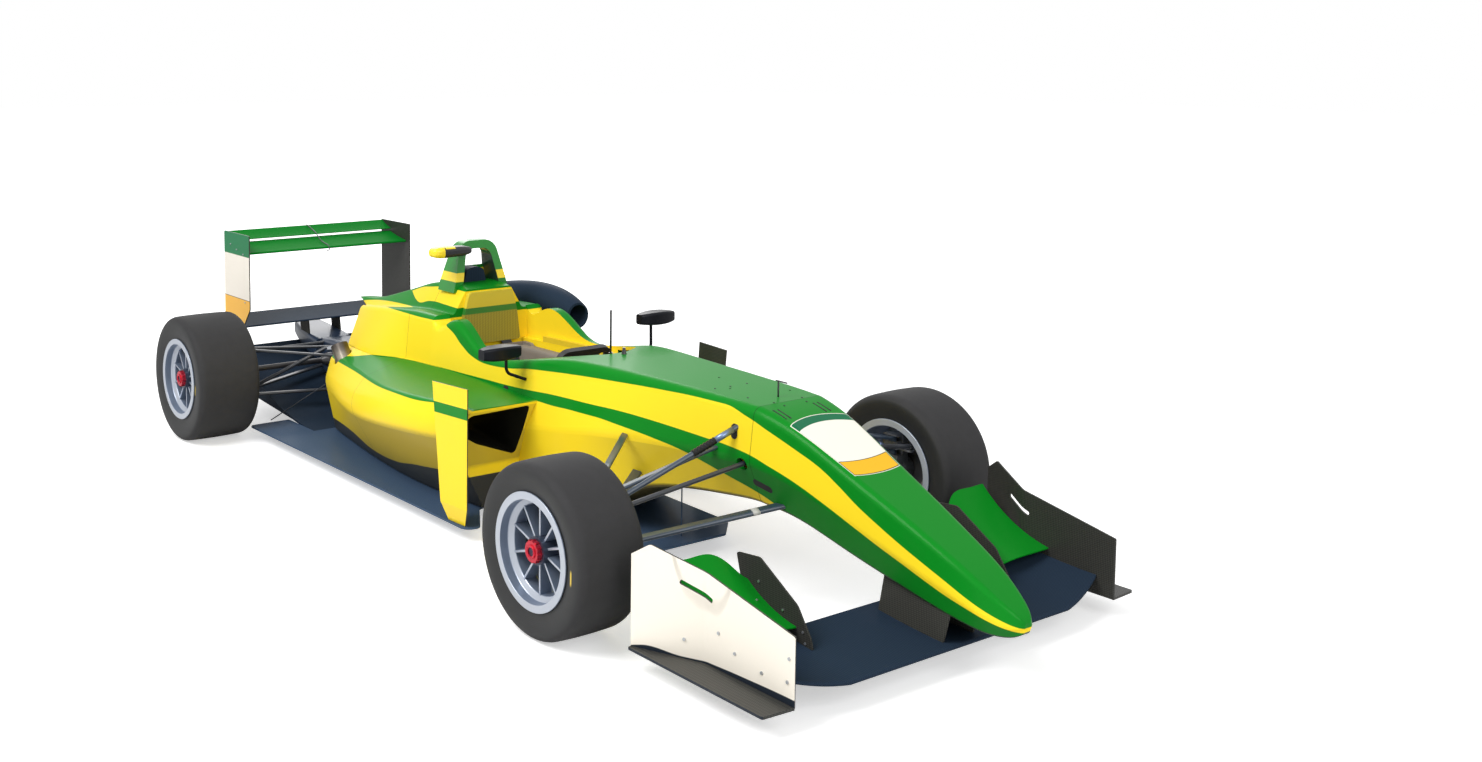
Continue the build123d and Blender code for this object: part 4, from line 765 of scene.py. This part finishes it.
def sleeveFaces(rings, sides):
    # a sleeve of rings of points, with both ends closed
    last = (rings - 1) * sides
    ends = [list(range(sides))[::-1], [last + k for k in range(sides)]]
    return gridFaces(rings, sides, False, True).tolist() + ends


def axesAbout(direction):
    # two unit vectors square to a direction, and its own
    w = np.asarray(direction, float)
    w = w / np.linalg.norm(w)
    u = np.cross(w, (0, 0, 1) if abs(w[2]) < 0.9 else (1, 0, 0))
    u = u / np.linalg.norm(u)
    return u, np.cross(w, u), w


def turned(profile, base, direction, steps=24):
    # points (a, r) turned about an axis: base + w a + r (u cos t + v sin t); the profile closes on itself
    u, v, w = axesAbout(direction)
    a, r = np.array(profile, float).T
    t = np.linspace(0, 2 * np.pi, steps, endpoint=False)
    ring = np.cos(t)[:, None] * u + np.sin(t)[:, None] * v
    points = np.asarray(base) + a[:, None, None] * w + r[:, None, None] * ring[None]
    return points.reshape(-1, 3), gridFaces(len(a), steps, True, True)[:, ::-1]


def tube(path, radius, sides=10):
    # round bar along a path with its ends closed; radius is one value or one for each point
    path = np.array(path, float)
    along = np.gradient(path, axis=0)
    along /= np.linalg.norm(along, axis=1)[:, None]
    u, _, _ = axesAbout(along[0])
    v = np.cross(along, u)
    v /= np.linalg.norm(v, axis=1)[:, None]
    w = np.cross(v, along)
    t = np.linspace(0, 2 * np.pi, sides, endpoint=False)
    radius = np.broadcast_to(radius, len(path))
    ring = np.cos(t)[None, :, None] * w[:, None] + np.sin(t)[None, :, None] * v[:, None]
    points = (path[:, None] + ring * radius[:, None, None]).reshape(-1, 3)
    return points, sleeveFaces(len(path), sides)


def stud(base, direction, radius, height, sides=6):
    # bolt head: a short prism standing on a surface, its foot sunk half a millimetre
    base, w = np.asarray(base, float), axesAbout(direction)[2]
    return tube([base - w * 0.0005, base + w * height], radius, sides)


def merged(shapes):
    # several closed shapes as one
    points, faces, count = [], [], 0
    for p, f in shapes:
        points.append(np.asarray(p))
        faces += [[int(k) + count for k in face] for face in f]
        count += len(p)
    return np.concatenate(points), faces


def smoothPath(points, count):
    # Catmull-Rom curve through points, count steps in each span
    p = np.array([points[0], *points, points[-1]], float)
    t = np.linspace(0, 1, count, endpoint=False)[:, None]
    spans = []
    for a, b, c, d in zip(p, p[1:], p[2:], p[3:]):
        spans.append(0.5 * (2 * b + (c - a) * t + (2 * a - 5 * b + 4 * c - d) * t ** 2
                            + (3 * b - a - 3 * c + d) * t ** 3))
    return np.concatenate(spans + [p[-1:]])


def surfacePoint(name, start, direction):
    # where a ray meets a node's surface: point and outward normal, or None
    hit, place, normal, _ = nodes[name].ray_cast(Vector(start), Vector(direction).normalized())
    return (np.array(place), np.array(normal)) if hit else None


print("mesh helpers ready")


# Tyres: one closed turned section each, from the inner bead over the tread to the outer bead

tyreLook = {
    "lip": 0.1865, "seat": 0.1656, "steps": 96,
    "shoulderDrop": 0.034, "shoulderWidth": 0.036, "shoulderPower": 0.8, "bow": 0.002,
}


def tyreSection(wheel):
    # wall: v = bead + (half - bead) sin(s pi / 2) while r rises evenly from lip to shoulder
    # shoulder: v = half - width (1 - cos(a)^p), r = foot + rise sin(a)^p
    # tread: r = crown - bow (v / inner)^2
    half, crown, bead, lip = wheel["half"], wheel["crown"], wheel["bead"], tyreLook["lip"]
    width, power, bow = tyreLook["shoulderWidth"], tyreLook["shoulderPower"], tyreLook["bow"]
    foot = crown - tyreLook["shoulderDrop"]
    rise = crown - bow - foot
    inner = half - width
    wall = [(bead + (half - bead) * np.sin(s * np.pi / 2), lip + (foot - lip) * s)
            for s in np.linspace(0, 1, 7)]
    shoulder = [(half - width * (1 - np.cos(a) ** power), foot + rise * np.sin(a) ** power)
                for a in np.linspace(0, np.pi / 2, 8)[1:]]
    tread = [(v, crown - bow * (v / inner) ** 2) for v in np.linspace(inner, 0, 5)[1:-1]]
    side = [(bead, tyreLook["seat"])] + wall + shoulder + tread
    return side + [(0, crown)] + [(-v, r) for v, r in side[::-1]]


for end, wheel in wheelPlaces.items():
    section = tyreSection(wheel)
    for label, sign in carSides:
        base = (wheel["axle"][0], sign * wheel["centre"], wheel["axle"][1])
        piece = addPiece(end + "TyreSlick." + label, turned(section, base, (0, 1, 0), tyreLook["steps"]),
                         end + "Rubber", "wheel_" + end + "_" + label)
        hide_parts(end + "_tyre_" + label)
print("tyres turned")


# Wheel nuts: a ring of splines around each nut and a chamfered collar in front of it

nutLook = {
    "splines": 12, "ringRadius": 0.0325, "splineRadius": 0.0045, "splineLength": 0.013,
    "sink": 0.024, "collarRise": 0.0155,
    "collar": [(0, 0.014), (0, 0.022), (0.004, 0.022), (0.006, 0.019), (0.004, 0.014)],
}
for end, wheel in wheelPlaces.items():
    axleX, axleZ = wheel["axle"]
    face = wheel["centre"] + wheel["lip"] - nutLook["sink"]
    for label, sign in carSides:
        out = (0, sign, 0)
        shapes = []
        for k in range(nutLook["splines"]):
            angle = 2 * math.pi * k / nutLook["splines"]
            spot = (axleX + nutLook["ringRadius"] * math.cos(angle), sign * face,
                    axleZ + nutLook["ringRadius"] * math.sin(angle))
            shapes.append(stud(spot, out, nutLook["splineRadius"], nutLook["splineLength"]))
        shapes.append(turned(nutLook["collar"], (axleX, sign * (face + nutLook["collarRise"]), axleZ), out))
        addPiece(end + "WheelNutSplines." + label, merged(shapes), "redAnodised",
                 "wheel_" + end + "_" + label, False)
print("wheel nuts dressed")


# Small fasteners on the plates

flapBoltRows = [(1.60, 0.24), (1.63, 0.20), (1.70, 0.185), (1.78, 0.145), (1.79, 0.115)]
# name, node, where the rays start (|y|) and their way (-1 inwards, 1 outwards), radius, height, slot, (x, z)
plateBolts = [
    ("endplateBolts.", "front_endplates", 1.2, -1, 0.005, 0.0035, "endplate_paint",
     [(1.713, 0.179), (1.779, 0.143), (1.884, 0.126), (1.980, 0.135), (1.985, 0.20), (1.60, 0.13)]),
    ("flapPlateBolts.", "front_wing_flaps", 0.5, -1, 0.004, 0.003, "woven_composite", flapBoltRows),
    ("flapPlateInnerBolts.", "front_wing_flaps", 0.3, 1, 0.004, 0.003, "woven_composite", flapBoltRows),
    ("rearPlateBolts.", "rear_endplates", 0.9, -1, 0.0045, 0.003, "endplate_paint",
     [(-1.975, 0.795), (-2.05, 0.812), (-2.12, 0.832), (-2.03, 0.450), (-2.10, 0.455), (-1.96, 0.560)]),
]
# nose and tub, from above: x, y
rivetLook = {
    "radius": 0.0035, "height": 0.0012, "sides": 10, "above": 1.2,
    "monocoque": [(1.030, -0.104), (1.055, -0.059), (1.034, 0.038), (1.179, 0.096), (1.266, 0.064),
                  (1.266, -0.064), (1.179, -0.096), (1.034, -0.038), (0.915, 0.019)],
    "nose_cone": [(1.300, 0.05), (1.300, -0.05)],
}


def addBolts(name, node, starts, direction, finish, radius, height, sides=6):
    # bolts where rays from the starts meet the node, square to its surface
    found = [surfacePoint(node, start, direction) for start in starts]
    shapes = [stud(spot[0], spot[1], radius, height, sides) for spot in found if spot is not None]
    if shapes:
        addPiece(name, merged(shapes), finish, "chassis", False)


for label, sign in carSides:
    for name, node, startY, way, radius, height, slot, rows in plateBolts:
        addBolts(name + label, node, [(x, sign * startY, z) for x, z in rows], (0, sign * way, 0), "zincBolt",
                 radius, height)
for node in ("monocoque", "nose_cone"):
    addBolts("topRivets." + node, node, [(x, y, rivetLook["above"]) for x, y in rivetLook[node]], (0, 0, -1),
             "blackBolt", rivetLook["radius"], rivetLook["height"], rivetLook["sides"])
print("fasteners placed")


# Rear wing's centre stay: a bent bar in the centre plane, from rows of (x, z)

stayLook = {
    "radius": 0.0025, "sides": 8, "steps": 6,
    "path": [(-2.190, 0.892), (-2.10, 0.864), (-2.03, 0.826), (-1.96, 0.812), (-1.940, 0.797), (-1.95, 0.785),
             (-1.975, 0.783)],
}
stay = smoothPath([(x, 0, z) for x, z in stayLook["path"]], stayLook["steps"])
addPiece("rearWingCentreStay", tube(stay, stayLook["radius"], stayLook["sides"]), "armSteel", "chassis")
print("wing stay bent")


# Black patches on the skins: painted shade inside entries and slots, and buttons

markLook = {
    "sides": 24, "sunk": 0.002, "topShare": 0.96, "height": 0.0006,
    "slots": [(1.345, -0.105), (1.345, 0.074)], "slotShift": 0.010, "slotHalf": 0.030, "slotRadius": 0.0028,
    "above": 1.2, "beside": 0.6, "besideRight": -0.7,
    # on both sides: node, x, z, direction of the long axis, half length, radius
    "entries": [("nose_cone", 1.305, 0.402, (1, 0, -0.3), 0.028, 0.013),
                ("monocoque", 1.202, 0.563, (0.1, 0, -1), 0.012, 0.014),
                ("monocoque", 1.222, 0.458, (1, 0, 0), 0.008, 0.012)],
    # on the right side: node, x, z, half length, radius, height
    "buttons": [("engine_cover", -0.66, 0.741, 0.001, 0.005, 0.001),
                ("engine_cover", -0.552, 0.741, 0.001, 0.005, 0.001),
                ("monocoque", 0.048, 0.498, 0.006, 0.010, 0.002)],
}


def capsuleOn(node, start, direction, along, half, radius, height):
    # flat-topped mark on a surface: two half circles a length apart, pushed out along the normal
    found = surfacePoint(node, start, direction)
    if found is None:
        return None
    centre, normal = found
    u = np.asarray(along, float)
    u = u - normal * np.dot(u, normal)
    u /= np.linalg.norm(u)
    v = np.cross(normal, u)
    t = np.linspace(0, 2 * np.pi, markLook["sides"], endpoint=False)
    long = half * np.sign(np.cos(t)) + radius * np.cos(t)
    outline = u * long[:, None] + v * (radius * np.sin(t))[:, None]
    low = centre + outline - normal * markLook["sunk"]
    high = centre + outline * markLook["topShare"] + normal * height
    return np.concatenate([low, high]), sleeveFaces(2, markLook["sides"])


marks = []
for x, y in markLook["slots"]:
    for shift in (-markLook["slotShift"], markLook["slotShift"]):
        marks.append(capsuleOn("nose_cone", (x, y + shift, markLook["above"]), (0, 0, -1), (1, 0, 0),
                               markLook["slotHalf"], markLook["slotRadius"], markLook["height"]))
for label, sign in carSides:
    for node, x, z, along, half, radius in markLook["entries"]:
        marks.append(capsuleOn(node, (x, sign * markLook["beside"], z), (0, -sign, 0), along, half, radius,
                               markLook["height"]))
for node, x, z, half, radius, height in markLook["buttons"]:
    marks.append(capsuleOn(node, (x, markLook["besideRight"], z), (0, 1, 0), (1, 0, 0), half, radius, height))
addPiece("darkEntriesAndSlots", merged([mark for mark in marks if mark is not None]), "slotShadow", "chassis",
         False)
print("slots and entries placed")


# Pushrod adjusters and sleeves, and bands on the lower arms; the lines are those of the right side

armLines = {
    "frontPushrod": ((1.1, -0.700, 0.340), (1.216, -0.140, 0.592)),
    "frontLowerFront": ((1.368, -0.104, 0.351), (1.1, -0.700, 0.235)),
    "frontLowerRear": ((0.700, -0.150, 0.324), (1.1, -0.700, 0.235)),
}
rodLook = {
    "sides": 12,
    "adjuster": (0.66, 0.80), "rings": 29, "adjusterRadius": 0.0112, "ridge": 0.0016,
    "sleeve": (0.805, 0.86, 0.915), "sleeveRadius": 0.0105,
    "foot": (0.07, 0.10, 0.16, 0.18), "footRadii": (0.010, 0.0125, 0.0125, 0.010),
}


def onLine(line, share, side):
    # the point at a share of the line, on the given side of the car
    a, b = np.array(line[0]), np.array(line[1])
    point = a + (b - a) * share
    return point * (1, 1 if side < 0 else -1, 1)


def rodPart(shares, radius, side):
    # a round part on the pushrod, through the given shares of its line
    return tube([onLine(armLines["frontPushrod"], share, side) for share in shares], radius, rodLook["sides"])


# a ridge every four rings, which is 12.5 mm
shares = np.linspace(*rodLook["adjuster"], rodLook["rings"])
ridges = rodLook["adjusterRadius"] + rodLook["ridge"] * (np.arange(rodLook["rings"]) % 4 < 2)
for label, side in carSides:
    addPiece("pushrodAdjuster." + label, rodPart(shares, ridges, side), "blackBolt", "chassis",
             False)
    sleeves = [rodPart(rodLook["sleeve"], rodLook["sleeveRadius"], side),
               rodPart(rodLook["foot"], rodLook["footRadii"], side)]
    addPiece("pushrodSleeves." + label, merged(sleeves), "anodisedBlue", "chassis")
print("pushrods dressed")


# Harness: two shoulder straps and their buckle

strapLook = {
    "width": 0.048, "thick": 0.003, "steps": 6,
    # centre line of the left strap: x, y, z
    "path": [(-0.475, 0.075, 0.560), (-0.440, 0.085, 0.500), (-0.385, 0.075, 0.36), (-0.320, 0.045, 0.235),
             (-0.255, 0.012, 0.190)],
    "buckle": [(0, 0.0), (0, 0.030), (0.012, 0.028), (0.016, 0.020), (0.016, 0.0)],
    "buckleAt": (-0.252, 0, 0.186), "buckleAxis": (0.45, 0, 0.9), "buckleSteps": 20,
}


def strap(path, width, thick):
    # flat strap along a path and across the car: its four corners swept, ends closed
    path = np.array(path, float)
    w = np.array((0.0, 1.0, 0.0))
    up = np.cross(np.gradient(path, axis=0), w)
    up /= np.linalg.norm(up, axis=1)[:, None]
    corners = [w * width / 2 * a + up * thick / 2 * b for a, b in ((1, 1), (-1, 1), (-1, -1), (1, -1))]
    return np.stack([path + corner for corner in corners], 1).reshape(-1, 3), sleeveFaces(len(path), 4)


straps = []
for label, sign in carSides:
    line = smoothPath([(x, sign * y, z) for x, y, z in strapLook["path"]], strapLook["steps"])
    straps.append(strap(line, strapLook["width"], strapLook["thick"]))
addPiece("shoulderStraps", merged(straps), "webbing", "chassis", False)
buckle = turned(strapLook["buckle"], strapLook["buckleAt"], strapLook["buckleAxis"], strapLook["buckleSteps"])
addPiece("harnessBuckle", buckle, "zincBolt", "chassis", False)
print("harness placed")


# Block in the foot of the roll hoop's gap

blockLook = {
    "front": -0.598, "deep": 0.066, "low": 0.800, "high": 0.866, "halfLow": 0.056, "halfHigh": 0.044,
    "archShare": 0.45, "steps": 15,
}


def archBlock(look):
    # outline: a straight foot and an arch (halfHigh cos t, high - share halfHigh (1 - sin t)), pushed back
    t = np.linspace(0, np.pi, look["steps"])
    half, rise = look["halfHigh"], look["halfHigh"] * look["archShare"]
    arch = [(half * np.cos(a), look["high"] - rise * (1 - np.sin(a))) for a in t]
    outline = np.array([(-look["halfLow"], look["low"]), (look["halfLow"], look["low"])] + arch)
    front = np.column_stack([np.full(len(outline), look["front"]), outline])
    return np.concatenate([front - (look["deep"], 0, 0), front]), sleeveFaces(2, len(outline))


addPiece("hoopGapPanel", archBlock(blockLook), "navyCarbon", "chassis", False)
print("hoop block placed")


# Foam along the cockpit's sides

foamLook = {
    "halfWide": 0.030, "halfTall": 0.066, "sides": 28, "steps": 8,
    "power": 0.35, "endPower": 12, "endShare": 0.06,
    # centre line on the left side: x, y, z
    "path": [(-0.478, 0.148, 0.472), (-0.36, 0.156, 0.470), (-0.24, 0.166, 0.468), (-0.12, 0.180, 0.466)],
}


def foamPad(look, sign):
    # section: (halfWide cos(t)^p, halfTall sin(t)^p) with the signs kept; ends: (1 - |2s - 1|^12)^0.5
    path = smoothPath(look["path"], look["steps"]) * (1, sign, 1)
    t = np.linspace(0, 2 * np.pi, look["sides"], endpoint=False)
    wide = np.sign(np.cos(t)) * np.abs(np.cos(t)) ** look["power"]
    tall = np.sign(np.sin(t)) * np.abs(np.sin(t)) ** look["power"]
    s = np.linspace(0, 1, len(path))
    drawnIn = (1 - np.abs(2 * s - 1) ** look["endPower"]) ** 0.5
    ends = (drawnIn * (1 - look["endShare"]) + look["endShare"])[:, None]
    section = np.stack([0 * ends * wide, look["halfWide"] * ends * wide, look["halfTall"] * ends * tall], -1)
    return (path[:, None] + section).reshape(-1, 3), sleeveFaces(len(path), look["sides"])


for label, sign in carSides:
    pad = addPiece("cockpitSideFoam." + label, foamPad(foamLook, sign), "vinylFoam", "chassis")
print("foam placed")


# Pale bands round the lower arms: arm, and the shares of its line where the band starts and ends

bandLook = {"halfChord": 0.0212, "halfThick": 0.0088, "sides": 24}
bandPlaces = [("frontLowerFront", 0.14, 0.175), ("frontLowerRear", 0.84, 0.87)]


def armBand(line, first, last, side):
    # sleeve round a flat arm: an oval (halfChord cos t, halfThick sin(t)^0.5 with its sign kept)
    a, b = onLine(line, 0, side), onLine(line, 1, side)
    w = (b - a) / np.linalg.norm(b - a)
    u = np.cross(w, (0, 0, 1))
    u /= np.linalg.norm(u)
    t = np.linspace(0, 2 * np.pi, bandLook["sides"], endpoint=False)
    chord = bandLook["halfChord"] * np.cos(t)
    thick = bandLook["halfThick"] * np.sign(np.sin(t)) * np.abs(np.sin(t)) ** 0.5
    ring = u * chord[:, None] + np.cross(w, u) * thick[:, None]
    points = np.concatenate([onLine(line, first, side) + ring, onLine(line, last, side) + ring])
    return points, sleeveFaces(2, bandLook["sides"])


for label, side in carSides:
    bands = [armBand(armLines[arm], first, last, side) for arm, first, last in bandPlaces]
    addPiece("armBands." + label, merged(bands), "paleBand", "chassis")
print("bands placed")


# Camera and light

cameraPlace = {
    "position": (4.68956, -3.45558, 1.79847),
    "direction": (-0.82541, 0.55738, -0.08952),
    "lens": 36.137,
    "shift": (0.16426, -0.13428),
}


def addCamera(place):
    data = bpy.data.cameras.new("camera")
    data.lens = place["lens"]
    data.sensor_width = 36
    data.shift_x, data.shift_y = place["shift"]
    data.clip_end = 100
    camera = bpy.data.objects.new("camera", data)
    camera.location = place["position"]
    camera.rotation_euler = Vector(place["direction"]).to_track_quat("-Z", "Y").to_euler()
    bpy.context.scene.collection.objects.link(camera)
    bpy.context.scene.camera = camera


studioLook = {
    "floor": "#f2f2f2", "floorRoughness": 0.9, "half": 40.0, "drop": 0.0005,
    "unseenStrength": 0.42, "seenStrength": 1.0,
    "glowNear": 0.5, "glowFar": 1.2, "glowFrom": 2.5, "glowTo": 9.0,
}
# name, position, target, size in metres, watts
lamps = [
    ("keyLight", (0.5, -5.0, 6.0), (0.3, 0.0, 0.4), 4.0, 450),
    ("frontLight", (7.0, -1.0, 4.0), (0.5, 0.0, 0.4), 4.0, 170),
    ("rearLight", (-6.0, 3.0, 4.0), (0.0, 0.0, 0.4), 4.0, 130),
]


def addAreaLight(name, position, target, size, power):
    data = bpy.data.lights.new(name, "AREA")
    data.size = size
    data.energy = power
    light = bpy.data.objects.new(name, data)
    light.location = position
    light.rotation_euler = (Vector(target) - Vector(position)).to_track_quat("-Z", "Y").to_euler()
    bpy.context.scene.collection.objects.link(light)


def addWorld(look):
    # white where the camera, a gloss or a clear surface sees it, dimmer as a light
    world = bpy.data.worlds.new("studioWorld")
    world.use_nodes = True
    tree = world.node_tree
    tree.nodes.clear()
    path = addNode(tree, "LightPath")
    kinds = ("Is Camera Ray", "Is Glossy Ray", "Is Transmission Ray")
    seen = larger(tree, *[path.outputs[kind] for kind in kinds])
    strength = addNode(tree, "MapRange", Value=seen, To_Min=look["unseenStrength"],
                       To_Max=look["seenStrength"])
    background = addNode(tree, "Background", Color=(1, 1, 1, 1), Strength=strength.outputs[0])
    addNode(tree, "OutputWorld", Surface=background.outputs[0])
    bpy.context.scene.world = world


def addFloor(look):
    half, drop = look["half"], look["drop"]
    corners = [(-half, -half, -drop), (half, -half, -drop), (half, half, -drop), (-half, half, -drop)]
    mesh = bpy.data.meshes.new("studioFloor")
    mesh.from_pydata(corners, [], [(0, 1, 2, 3)])
    floor = bpy.data.objects.new("studioFloor", mesh)
    bpy.context.scene.collection.objects.link(floor)
    material, tree, shader = startMaterial("paleStudioFloor", Base_Color=hexColour(look["floor"]),
                                           Roughness=look["floorRoughness"], Specular_IOR_Level=0.0)
    # the floor brightens with its distance from the part, so that it meets the background without an edge
    far = addNode(tree, "VectorMath", {"operation": "LENGTH"}, i0=placeOf(tree)[0]).outputs["Value"]
    lift = addNode(tree, "MapRange", Value=far, From_Min=look["glowFrom"], From_Max=look["glowTo"],
                   To_Min=look["glowNear"], To_Max=look["glowFar"]).outputs[0]
    glow = addNode(tree, "Emission", Color=(1, 1, 1, 1), Strength=lift)
    both = addNode(tree, "AddShader", i0=shader.outputs[0], i1=glow.outputs[0])
    camera = addNode(tree, "LightPath").outputs["Is Camera Ray"]
    chosen = addNode(tree, "MixShader", i0=camera, i1=shader.outputs[0], i2=both.outputs[0])
    tree.links.new(chosen.outputs[0], tree.nodes["Material Output"].inputs[0])
    mesh.materials.append(material)


addCamera(cameraPlace)
addWorld(studioLook)
addFloor(studioLook)
for lamp in lamps:
    addAreaLight(*lamp)
print("camera and studio light")
